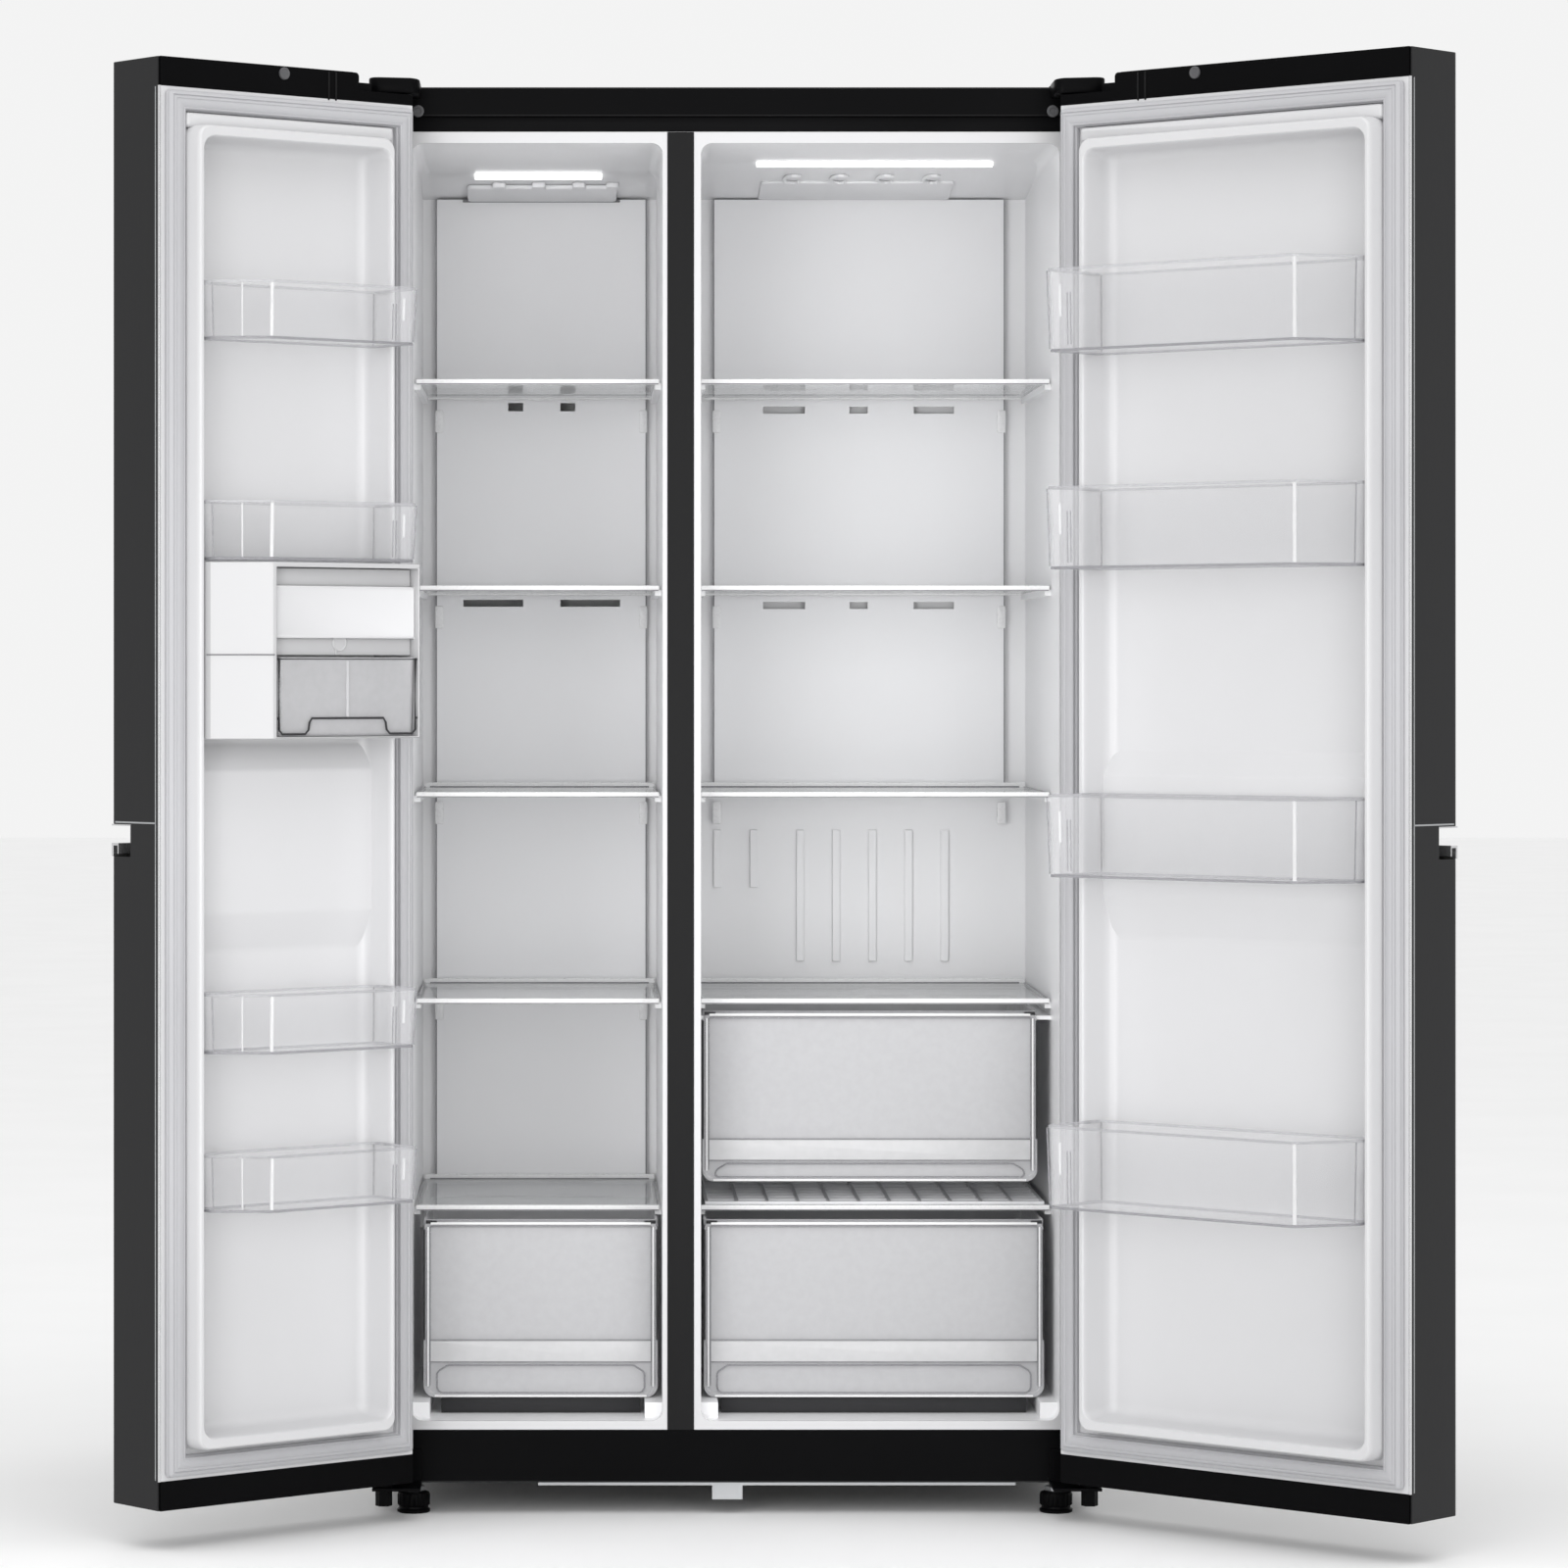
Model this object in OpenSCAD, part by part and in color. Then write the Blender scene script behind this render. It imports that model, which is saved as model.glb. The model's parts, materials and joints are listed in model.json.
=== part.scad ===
// Side by side refrigerator, all sizes in millimetres.
// +X is to the right, +Y to the rear, +Z up, and the floor is at Z = 0.
// The doors stand open at rest. Inside the cabinet modules X = 0 is the middle
// of the cabinet and Y = 0 its front face; the whole is then moved by `centre`.

/* [Cabinet] */
// Width of the cabinet
cabinet_w = 913; // [893:1:933]
// Depth of the cabinet without its doors
cabinet_d = 620; // [610:1:650]
// Height of the cabinet's top above the floor
cabinet_top = 1785; // [1775:1:1787]
// Height of the cabinet's underside above the floor
cabinet_base = 40; // [38:1:44]
// Thickness of the steel sheet of the cabinet
sheet = 2; // [1.5:0.5:3]
// Thickness of the white inner liners
liner = 2.5; // [2:0.5:3]

/* [Compartments] */
// Thickness of the insulated side walls
wall = 51.5; // [48:0.5:52]
// Left edge of the strip between the compartments
mullion_left = -85; // [-95:1:-80]
// Right edge of the strip between the compartments
mullion_right = -52; // [-60:1:-48]
// Height of the compartment floors
floor_z = 117; // [112:1:120]
// Height of the compartment ceilings
ceiling_z = 1715; // [1705:1:1717]
// Depth of the compartments
cavity_d = 530; // [528:1:532]

/* [Shelves] */
// Height of the top face of the lowest shelf
first_shelf = 375.5; // [374:0.5:378]
// Distance from one shelf to the next
shelf_pitch = 262.4; // [255:0.1:265]
// Number of shelves in each compartment
shelf_count = 5; // [4:1:5]
// Thickness of the shelf glass
glass = 4; // [3:0.5:5]

/* [Doors] */
// Width of the freezer door
freezer_door_w = 387; // [380:1:388]
// Width of the refrigerator door
fridge_door_w = 521; // [512:1:522]
// Thickness of the doors
door_t = 100; // [98:1:102]
// Height of the doors' lower edge
door_bottom = 50; // [49:1:51]
// Height of the doors' upper edge
door_top = 1790; // [1788:1:1795]
// Opening angle of the freezer door at rest
freezer_open = 140.4; // [0:0.1:140.4]
// Opening angle of the refrigerator door at rest
fridge_open = 137.4; // [0:0.1:140.4]

/* [Door handles] */
// Lower edge of the upper door panel
upper_panel_z = 870; // [860:1:880]
// Height of the gap for the fingers
finger_gap = 23; // [20:1:26]
// Height of the grip lip under the gap
grip_h = 16; // [14:1:18]
// Depth of the recess behind the grip
recess_d = 40; // [35:1:44]

/* [Hidden] */

// Cabinet
half_w = cabinet_w / 2;
inside_w = half_w - sheet;
rear_y = cabinet_d;
flange_top = 1729;
flange_bottom = 106;
rail_step = 1749;
beam_d = 50;
cavity_r = 14;

// Compartments: left and right walls, and where the ceiling starts to slope
freezer_x = [-half_w + wall, mullion_left - 6];
fridge_x = [mullion_right + 9, half_w - wall];
freezer_slope_y = 407;
fridge_slope_y = 247;
slope_drop = 26;
step_y = 392;
step_z = 322;

// Machine room at the foot of the rear
machine_y = 407;
machine_top = 270;
fan_y = 510;

// Evaporator chamber behind the freezer's rear panel
chamber_x = [-375, -117];
chamber_z = [390, 1640];
chamber_y = 572;
duct_y = 515;
duct_t = 2.5;
freezer_duct_x = [-386, -105.5];
fridge_duct_x = [-14, 375];

// Shelves
shelf_front = 112;
shelf_rear = 512;
trim_w = 7;
shelf_gap = 2.5;
shelf_tops = [for (i = [0 : shelf_count - 1]) first_shelf + i * shelf_pitch];
ledge = 8;

// Drawers
run_z = 137;
run_w = 22;
run_gap = 0.3;
// Room beside a drawer: at the hinge side the open door's edge stands in front
drawer_hinge_room = 13;
drawer_room = 5;
low_drawer_y = [70, 385];
low_drawer_top = 362;
crisper_y = [114, 490];
crisper_z = [406, 623];
crisper_x = [-36, 384];
crisper_rim_z = 617;

// Doors, drawn closed: u runs from the hinge edge, y = 0 is the inner face
door_gap = 15;
pin_u = 18.5;
pin_y = -38;
door_skin = 2.5;
door_r = 8;
cap_h = 35;
hinge_side_top = 1768;
hinge_recess_w = 96;
dyke_h = 36;
pan_d = 15;
dyke_z = [122, 1709];
freezer_dyke = [56, freezer_door_w - 33];
freezer_pan = [65, freezer_door_w - 43];
fridge_dyke = [56, fridge_door_w - 33];
fridge_pan = [67, fridge_door_w - 43];
pan_margin = 16;
freezer_bulge = [752, 985];
fridge_bulge = [730, 940];
gasket_w = 25;
gasket_in = 8;
gasket_t = 13;
recess_top = upper_panel_z;
grip_top = upper_panel_z - finger_gap;
grip_bottom = grip_top - grip_h;

// Door bins: depth from the inner face, crease and lower and upper edges
bin_t = 2.5;
bin_back = 3;
bin_end_y = 45;
freezer_bin_depth = 95;
fridge_bin_depth = 118;
freezer_crease = 288;
fridge_crease = 438;
freezer_bins = [[1451, 1522], [1187, 1259], [596, 669], [407, 476]];
fridge_bins = [[1442, 1544], [1178, 1279], [804, 905], [401, 503]];

// Ice maker
ice_z = [973, 1185];
ice_split = 282;
tray_axis = [45, 1125];
ice_bin_top = 1071;

// Hinges, feet and rollers
pin_x = half_w - pin_u;
hinge_y = pin_y - door_gap;
pin_d = 10;
low_pin_d = 12;
foot_x = 403;
foot_y = 25;
foot_d = 42;
roller_x = 400;
roller_y = 560;
roller_d = 38;
play = 0.6;

// The open doors set the outer size, and `centre` is the middle of that box
function door_corner(w, y, a) = [
    (w - pin_u) * cos(a) + (y - pin_y) * sin(a),
    -(w - pin_u) * sin(a) + (y - pin_y) * cos(a)
];
freezer_outer = door_corner(freezer_door_w, -door_t, freezer_open);
fridge_outer = door_corner(fridge_door_w, -door_t, fridge_open);
freezer_inner = door_corner(freezer_door_w, 0, freezer_open);
fridge_inner = door_corner(fridge_door_w, 0, fridge_open);
reach_left = min(-half_w, -pin_x + min(freezer_outer[0], freezer_inner[0]));
reach_right = max(half_w, pin_x - min(fridge_outer[0], fridge_inner[0]));
fridge_bin_corner = door_corner(fridge_crease, fridge_bin_depth, fridge_open);
reach_front = hinge_y + min(freezer_inner[1], fridge_inner[1], fridge_bin_corner[1]);
centre = [(reach_left + reach_right) / 2, (reach_front + rear_y) / 2, 0];

// Helpers

// A box from one corner to the opposite one
module span(a, b) {
    translate(a)
        cube(b - a);
}

// Points of a rectangle with rounded corners
function arc_points(cx, cy, r, from, steps = 6) =
    [for (i = [0 : steps]) [cx + r * cos(from + 90 * i / steps),
                            cy + r * sin(from + 90 * i / steps)]];
function round_rect(a, b, r) = concat(
    arc_points(b[0] - r, b[1] - r, r, 0),
    arc_points(a[0] + r, b[1] - r, r, 90),
    arc_points(a[0] + r, a[1] + r, r, 180),
    arc_points(b[0] - r, a[1] + r, r, 270));

// An outline of (Y, Z) points drawn out along X
module prism_x(points, x0, x1) {
    translate([x0, 0, 0])
        rotate([90, 0, 90])
            linear_extrude(x1 - x0)
                polygon(points);
}

// An outline of (X, Z) points drawn out along Y
module prism_y(points, y0, y1) {
    translate([0, y1, 0])
        rotate([90, 0, 0])
            linear_extrude(y1 - y0)
                polygon(points);
}

// A cylinder along Z
module pillar(x, y, z0, z1, d) {
    translate([x, y, z0])
        cylinder(h = z1 - z0, d = d, $fn = 48);
}

// A cylinder along X
module rod_x(x0, x1, y, z, d) {
    translate([x0, y, z])
        rotate([0, 90, 0])
            cylinder(h = x1 - x0, d = d, $fn = 48);
}

// A cylinder along Y
module rod_y(x, y0, y1, z, d) {
    translate([x, y0, z])
        rotate([-90, 0, 0])
            cylinder(h = y1 - y0, d = d, $fn = 48);
}

// The same shape at the left and at the right
module both_sides() {
    children();
    mirror([1, 0, 0])
        children();
}

// Moves cabinet coordinates to the part's own origin
module placed() {
    translate(-centre)
        children();
}

// Swings a door that is drawn from its hinge edge about its pin
module freezer_door() {
    placed()
        translate([-pin_x, hinge_y, 0])
            rotate([0, 0, -freezer_open])
                translate([-pin_u, -pin_y, 0])
                    children();
}

module fridge_door() {
    placed()
        mirror([1, 0, 0])
            translate([-pin_x, hinge_y, 0])
                rotate([0, 0, -fridge_open])
                    translate([-pin_u, -pin_y, 0])
                        children();
}

// Cabinet

// Inner space of a compartment, grown by g on every side but the front
module cavity(x, slope_y, front, g) {
    side = [
        [front, floor_z - g], [step_y + g, floor_z - g], [step_y + g, step_z - g],
        [cavity_d + g, step_z - g], [cavity_d + g, ceiling_z - slope_drop + g],
        [slope_y, ceiling_z + g], [front, ceiling_z + g]
    ];
    intersection() {
        prism_y(round_rect([x[0] - g, floor_z - g], [x[1] + g, ceiling_z + g],
                           cavity_r + g), front, cavity_d + g);
        prism_x(side, x[0] - g - 1, x[1] + g + 1);
    }
}

module chamber(g) {
    span([chamber_x[0] - g, cavity_d - 1, chamber_z[0] - g],
         [chamber_x[1] + g, chamber_y + g, chamber_z[1] + g]);
}

// Ledges on the side walls that carry the shelves
module shelf_ledges(x) {
    for (z = shelf_tops) {
        span([x[0] - 0.5, 125, z - glass - ledge], [x[0] + ledge, 500, z - glass]);
        span([x[1] - ledge, 125, z - glass - ledge], [x[1] + 0.5, 500, z - glass]);
    }
}

// Runs along the floor that carry the lowest drawer
module floor_runs(x, slope_y) {
    start = dyke_h - door_gap + 5;
    intersection() {
        cavity(x, slope_y, 0, 1);
        union() {
            span([x[0] - 0.5, start, floor_z - 1], [x[0] + run_w, step_y - 2, run_z]);
            span([x[1] - run_w, start, floor_z - 1], [x[1] + 0.5, step_y - 2, run_z]);
        }
    }
}

module stud_holes() {
    both_sides()
        pillar(-foot_x, foot_y, cabinet_base - 1, 97, pin_d + play);
}

module cabinet_shell() {
    machine_roof = machine_top + 2;
    color("#2e2e30")
        placed()
            difference() {
                union() {
                    both_sides()
                        span([-half_w, 0, cabinet_base], [-inside_w, rear_y - sheet, cabinet_top]);
                    span([-half_w, 0, cabinet_top - sheet], [half_w, rear_y - sheet, cabinet_top]);
                    span([-half_w, 0, cabinet_base],
                         [half_w, rear_y - sheet, cabinet_base + sheet]);
                    span([-half_w, machine_y - 2, cabinet_base], [half_w, machine_y, machine_roof]);
                    span([-half_w, machine_y - 2, machine_top], [half_w, rear_y - sheet, machine_roof]);
                }
                stud_holes();
            }
}

module rear_panel() {
    color("#8f9296")
        placed()
            difference() {
                span([-half_w, rear_y - sheet, machine_top + 2], [half_w, rear_y, cabinet_top]);
                for (x = [-300, 0, 300])
                    span([x - 60, rear_y - 1, 420], [x + 60, rear_y + 1, 1640]);
            }
}

module cabinet_foam() {
    color("#e8dfae")
        placed()
            difference() {
                span([-inside_w, liner, cabinet_base + sheet],
                     [inside_w, rear_y - sheet, cabinet_top - sheet]);
                cavity(freezer_x, freezer_slope_y, 0, liner);
                cavity(fridge_x, fridge_slope_y, 0, liner);
                chamber(liner);
                span([-half_w, machine_y - 2, 0], [half_w, rear_y, machine_top + 2]);
                span([-half_w, 0, flange_top], [half_w, beam_d, cabinet_top]);
                span([-half_w, 0, 0], [half_w, beam_d, flange_bottom]);
            }
}

module freezer_liner() {
    color("#e9e9eb")
        placed() {
            difference() {
                union() {
                    cavity(freezer_x, freezer_slope_y, 0, liner);
                    chamber(liner);
                    span([-inside_w, 0, flange_bottom], [mullion_left, liner, flange_top]);
                }
                cavity(freezer_x, freezer_slope_y, -1, 0);
                chamber(0);
            }
            shelf_ledges(freezer_x);
            floor_runs(freezer_x, freezer_slope_y);
        }
}

// Upright ribs on the wall below the refrigerator's rear panel
module wall_ribs() {
    rib_w = 10;
    rib_top = 842;
    for (i = [0 : 6]) {
        x = i < 2 ? -9 + 49 * i : 102 + 48.5 * (i - 2);
        z = i < 2 ? 765 : 666;
        span([x - rib_w / 2, cavity_d - 6, z], [x + rib_w / 2, cavity_d + 0.5, rib_top]);
    }
}

module fridge_liner() {
    color("#e9e9eb")
        placed() {
            difference() {
                union() {
                    cavity(fridge_x, fridge_slope_y, 0, liner);
                    span([mullion_right, 0, flange_bottom], [inside_w, liner, flange_top]);
                }
                cavity(fridge_x, fridge_slope_y, -1, 0);
            }
            shelf_ledges(fridge_x);
            floor_runs(fridge_x, fridge_slope_y);
            wall_ribs();
            crisper_runs();
        }
}

// Ledges that the upper crisper's rim slides on
module crisper_runs() {
    top = crisper_rim_z - run_gap;
    span([fridge_x[0] - 0.5, 120, top - 5], [crisper_x[0] - 0.5, 495, top]);
    span([crisper_x[1] + 0.5, 120, top - 5], [fridge_x[1] + 0.5, 495, top]);
}

module top_rail() {
    color("#0c0c0d")
        placed() {
            span([-inside_w, 0, rail_step], [inside_w, beam_d, cabinet_top - sheet]);
            span([-inside_w, 6, flange_top], [inside_w, beam_d, rail_step + 0.1]);
        }
}

module mullion_cover() {
    color("#2f2f30")
        placed() {
            span([mullion_left, -1.2, flange_bottom], [mullion_right, 0, flange_top]);
            span([mullion_left, -0.1, flange_bottom], [mullion_right, liner, flange_top]);
        }
}

module base_beam() {
    color("#0c0c0d")
        placed()
            difference() {
                span([-inside_w, 0, cabinet_base + sheet], [inside_w, beam_d, flange_bottom]);
                stud_holes();
            }
}

module base_strip() {
    tab_x = [-29, 9];
    color("#9b9da0")
        placed() {
            span([-247, 6, cabinet_base - 4.5], [351, 22, cabinet_base]);
            span([tab_x[0], 6, 18], [tab_x[1], 10, cabinet_base - 4]);
        }
}

// Inside of the compartments

// A shallow box, open at the back, with slots for the cold air
module duct_panel(x, z, slots) {
    difference() {
        span([x[0], duct_y, z[0]], [x[1], cavity_d, z[1]]);
        span([x[0] + duct_t, duct_y + duct_t, z[0] + duct_t],
             [x[1] - duct_t, cavity_d + 1, z[1] - duct_t]);
        for (s = slots)
            span([s[0], duct_y - 1, s[2]], [s[1], duct_y + duct_t + 1, s[3]]);
    }
}

module freezer_air_duct() {
    slots = [
        [-290, -270, 1404, 1415], [-220, -200, 1404, 1415],
        [-350, -270, 1142, 1151], [-220, -140, 1142, 1151],
        [-350, -140, 345, 352]
    ];
    color("#d2d2d5")
        placed()
            duct_panel(freezer_duct_x, [step_z + 8, 1688], slots);
}

module fridge_air_duct() {
    slots = [for (z = [1139, 1401]) for (x = [[52, 108], [168, 192], [254, 308]])
        [x[0], x[1], z, z + 9]];
    color("#d2d2d5")
        placed()
            duct_panel(fridge_duct_x, [888, 1688], slots);
}

// A lamp bar lying on the sloped part of a ceiling
module lamp_bar(x, slope_y) {
    lamp_w = 16;
    lamp_t = 4;
    lamp_gap = 6;
    tilt = -atan(slope_drop / (cavity_d - slope_y));
    translate([0, slope_y, ceiling_z])
        rotate([tilt, 0, 0])
            span([x[0], lamp_gap, -lamp_t], [x[1], lamp_gap + lamp_w, 0]);
}

module interior_lamps() {
    color("#ffffff")
        placed() {
            lamp_bar([-333, -165], freezer_slope_y);
            lamp_bar([35, 341], fridge_slope_y);
        }
}

module shelf_panes(x) {
    for (z = shelf_tops)
        span([x[0] + shelf_gap, shelf_front + trim_w, z - glass],
             [x[1] - shelf_gap, shelf_rear - trim_w, z]);
}

module shelf_glass() {
    color("#dfe9ea", 0.4)
        placed() {
            shelf_panes(freezer_x);
            shelf_panes(fridge_x);
        }
}

module shelf_edges(x) {
    for (z = shelf_tops) {
        span([x[0] + shelf_gap, shelf_front, z - glass - 2],
             [x[1] - shelf_gap, shelf_front + trim_w, z + 1]);
        span([x[0] + shelf_gap, shelf_rear - trim_w, z - glass - 2],
             [x[1] - shelf_gap, shelf_rear, z + 6]);
    }
}

module shelf_trims() {
    color("#f2f2f3")
        placed() {
            shelf_edges(freezer_x);
            shelf_edges(fridge_x);
        }
}

module crisper_grid() {
    grid_x = [fridge_x[0] + 8, fridge_x[1] - 8];
    grid_y = [130, 494];
    cells = [11, 9];
    bar = 4;
    cell_w = (grid_x[1] - grid_x[0] - bar) / cells[0];
    cell_d = (grid_y[1] - grid_y[0] - bar) / cells[1];
    color("#55565a")
        placed()
            difference() {
                span([grid_x[0], grid_y[0], first_shelf], [grid_x[1], grid_y[1], first_shelf + 4]);
                for (i = [0 : cells[0] - 1])
                    for (j = [0 : cells[1] - 1])
                        translate([grid_x[0] + bar + i * cell_w, grid_y[0] + bar + j * cell_d,
                                   first_shelf - 1])
                            cube([cell_w - bar, cell_d - bar, 6]);
            }
}

// An open box with a thick front and a groove for the fingers
module drawer(a, b) {
    t = 2.5;
    front = 4;
    groove_z = a[2] + 0.3 * (b[2] - a[2]);
    difference() {
        span(a, b);
        span([a[0] + t, a[1] + front, a[2] + t], [b[0] - t, b[1] - t, b[2] + 1]);
        span([a[0] + 12, a[1] - 1, groove_z], [b[0] - 12, a[1] + 1.5, groove_z + 18]);
        span([a[0] + 6, a[1] - 1, a[2] + 6], [b[0] - 6, a[1] + 0.8, groove_z - 8]);
    }
}

module freezer_drawer() {
    color("#e4e4e7", 0.6)
        placed()
            drawer([freezer_x[0] + drawer_hinge_room, low_drawer_y[0], run_z + run_gap],
                   [freezer_x[1] - drawer_room, low_drawer_y[1], low_drawer_top]);
}

module lower_crisper() {
    color("#e4e4e7", 0.6)
        placed()
            drawer([fridge_x[0] + drawer_room, low_drawer_y[0], run_z + run_gap],
                   [fridge_x[1] - drawer_hinge_room, low_drawer_y[1], low_drawer_top]);
}

module upper_crisper() {
    rim = 3;
    color("#e4e4e7", 0.6)
        placed() {
            drawer([crisper_x[0], crisper_y[0], crisper_z[0]],
                   [crisper_x[1], crisper_y[1], crisper_z[1]]);
            for (x = [crisper_x[0] - rim, crisper_x[1] - 0.1])
                span([x, crisper_y[0], crisper_rim_z],
                     [x + rim + 0.1, crisper_y[1], crisper_z[1]]);
        }
}

// Hinges, feet and rollers

module upper_hinges() {
    color("#a9abae")
        placed()
            both_sides() {
                span([-half_w + 4.5, -68, cabinet_top], [-400, 118, cabinet_top + 2]);
                pillar(-pin_x, hinge_y, 1745, cabinet_top + 2, pin_d);
                pillar(-pin_x, hinge_y, hinge_side_top + 4, cabinet_top + 1, 18);
            }
}

module hinge_covers() {
    x = [-half_w + 0.5, -393];
    skirt = 2;
    color("#111112")
        placed()
            both_sides()
                difference() {
                    union() {
                        span([x[0], -75, hinge_side_top + 2], [x[1], -0.5, door_top]);
                        span([x[0], -1, cabinet_top], [x[1], 122, door_top]);
                    }
                    span([x[0] + skirt, -75 + skirt, hinge_side_top],
                         [x[1] - skirt, 0.5, cabinet_top + 2]);
                    span([x[0] + skirt, -2, cabinet_top - 1], [x[1] - skirt, 120, cabinet_top + 2]);
                }
}

module lower_hinges() {
    plate_z = [39, 42.5];
    color("#151516")
        placed()
            both_sides() {
                span([-half_w + 4.5, -72, plate_z[0]], [-392, 0, plate_z[1]]);
                span([-half_w + 4.5, -3, plate_z[0]], [-392, 0, 82]);
                pillar(-pin_x, hinge_y, plate_z[0], 76, low_pin_d);
                pillar(-pin_x, hinge_y, plate_z[1] - 0.5, 45.5, 24);
                translate([-pin_x, hinge_y, 19])
                    cylinder(h = plate_z[0] - 19 + 0.5, d = 21, $fn = 6);
            }
}

// A levelling foot with its threaded stud
module foot() {
    cylinder(h = 5, d = foot_d, $fn = 64);
    translate([0, 0, 4.5])
        cylinder(h = 18, d = foot_d - 6, $fn = 64);
    translate([0, 0, 22])
        cylinder(h = 5, d = foot_d - 2, $fn = 64);
    translate([0, 0, 26.5])
        cylinder(h = 6.5, d = 26, $fn = 6);
    translate([0, 0, 32.5])
        cylinder(h = 60, d = pin_d, $fn = 48);
}

module front_foot_left() {
    color("#1b1b1d")
        placed()
            translate([-foot_x, foot_y, 0])
                foot();
}

module front_foot_right() {
    color("#1b1b1d")
        placed()
            translate([foot_x, foot_y, 0])
                foot();
}

// A roller with a bore along X
module roller(x) {
    w = 9;
    difference() {
        union() {
            rod_x(x - w, x + w, roller_y, roller_d / 2, roller_d);
            rod_x(x - w - 1.5, x + w + 1.5, roller_y, roller_d / 2, 16);
        }
        rod_x(x - 20, x + 20, roller_y, roller_d / 2, 8 + play);
    }
}

module rear_roller_left() {
    color("#2a2a2c")
        placed()
            roller(-roller_x);
}

module rear_roller_right() {
    color("#2a2a2c")
        placed()
            roller(roller_x);
}

module roller_brackets() {
    cheek = 11;
    color("#9a9ca0")
        placed()
            both_sides() {
                for (x = [-roller_x - cheek - 3, -roller_x + cheek])
                    span([x, roller_y - 26, 12], [x + 3, roller_y + 26, cabinet_base]);
                rod_x(-roller_x - cheek - 5, -roller_x + cheek + 5, roller_y, roller_d / 2, 8);
            }
}

// Cooling machinery

module compressor() {
    color("#1d1d1f")
        placed()
            translate([-250, fan_y, cabinet_base + sheet]) {
                translate([0, 0, 20])
                    rotate_extrude($fn = 64)
                        polygon([[0, 0], [62, 0], [74, 14], [76, 60], [78, 64], [76, 68],
                                 [74, 112], [60, 138], [34, 150], [0, 153]]);
                for (x = [-72, 72])
                    for (y = [-48, 48])
                        translate([x, y, 0])
                            cylinder(h = 22, d = 26, $fn = 32);
                translate([-90, -66, 18])
                    cube([180, 132, 4]);
            }
}

module condenser_coil() {
    fins = 14;
    x0 = 110;
    pitch = 13;
    color("#6b4a36")
        placed() {
            for (i = [0 : fins - 1])
                span([x0 + i * pitch, fan_y - 60, cabinet_base + sheet],
                     [x0 + i * pitch + 1.5, fan_y + 60, 215]);
            for (y = [-40, -13, 13, 40])
                for (z = [75, 110, 145, 180])
                    rod_x(x0 - 8, x0 + fins * pitch, fan_y + y, z, 8);
        }
}

module evaporator() {
    fins = 18;
    x0 = -362;
    pitch = 13;
    color("#c3c6c9")
        placed() {
            for (i = [0 : fins - 1])
                span([x0 + i * pitch, 524, 420], [x0 + i * pitch + 1.5, chamber_y, 800]);
            for (y = [537, 559])
                for (z = [450 : 60 : 770])
                    rod_x(x0 - 8, x0 + fins * pitch, y, z, 8);
        }
}

// Fan motors and the shafts that the fans turn on
module fan_motors() {
    color("#3a3a3d")
        placed() {
            rod_y(-246, 553, chamber_y, 1000, 46);
            rod_y(-246, 526, 554, 1000, 6);
            rod_x(20, 60, fan_y, 155, 52);
            rod_x(-12, 21, fan_y, 155, 6);
            span([34, fan_y - 20, cabinet_base + sheet], [46, fan_y + 20, 150]);
        }
}

// A fan along +Z with straight pitched blades
module fan(d) {
    blades = 7;
    difference() {
        union() {
            cylinder(h = 16, d = 34, $fn = 48);
            for (i = [0 : blades - 1])
                rotate([0, 0, i * 360 / blades])
                    translate([14, 0, 8])
                        rotate([38, 0, 0])
                            translate([0, -11, -1])
                                cube([d / 2 - 14, 22, 2]);
        }
        translate([0, 0, -1])
            cylinder(h = 20, d = 6 + play, $fn = 48);
    }
}

module evaporator_fan() {
    color("#e6e6e8")
        placed()
            translate([-246, 550, 1000])
                rotate([90, 0, 0])
                    fan(110);
}

module condenser_fan() {
    color("#2b2b2d")
        placed()
            translate([18, fan_y, 155])
                rotate([0, -90, 0])
                    fan(130);
}

module drain_pan() {
    color("#3b3b3e")
        placed()
            difference() {
                span([320, 430, cabinet_base + sheet], [445, 600, 90]);
                span([323, 433, cabinet_base + sheet + 3], [442, 597, 91]);
            }
}

module machine_room_cover() {
    color("#4a4b4e")
        placed()
            difference() {
                span([-half_w, rear_y - sheet, cabinet_base], [half_w, rear_y, machine_top + 2]);
                for (i = [0 : 13])
                    for (z = [90, 160])
                        span([-300 + i * 50, rear_y - sheet - 1, z],
                             [-270 + i * 50, rear_y + 1, z + 40]);
                span([-412, rear_y - sheet - 1, 146], [-378, rear_y + 1, 174]);
            }
}

module power_inlet() {
    color("#101011")
        placed()
            difference() {
                union() {
                    span([-412, 590, 146], [-378, rear_y, 174]);
                    span([-418, rear_y - sheet - 3, 140], [-372, rear_y - sheet, 180]);
                }
                span([-408, 600, 150], [-382, rear_y + 1, 170]);
            }
}

// Doors

// Outer sheet of a door: front and both sides, with rounded front corners
module skin_profile(w) {
    t = door_skin;
    outer = concat([[0, -3]],
                   arc_points(door_r, -door_t + door_r, door_r, 180),
                   arc_points(w - door_r, -door_t + door_r, door_r, 270),
                   [[w, -3]]);
    r = door_r - t;
    inner = concat(arc_points(door_r, -door_t + door_r, r, 180),
                   arc_points(w - door_r, -door_t + door_r, r, 270));
    difference() {
        polygon(outer);
        polygon(concat([[t, 1]], inner, [[w - t, 1]]));
    }
}

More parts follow.
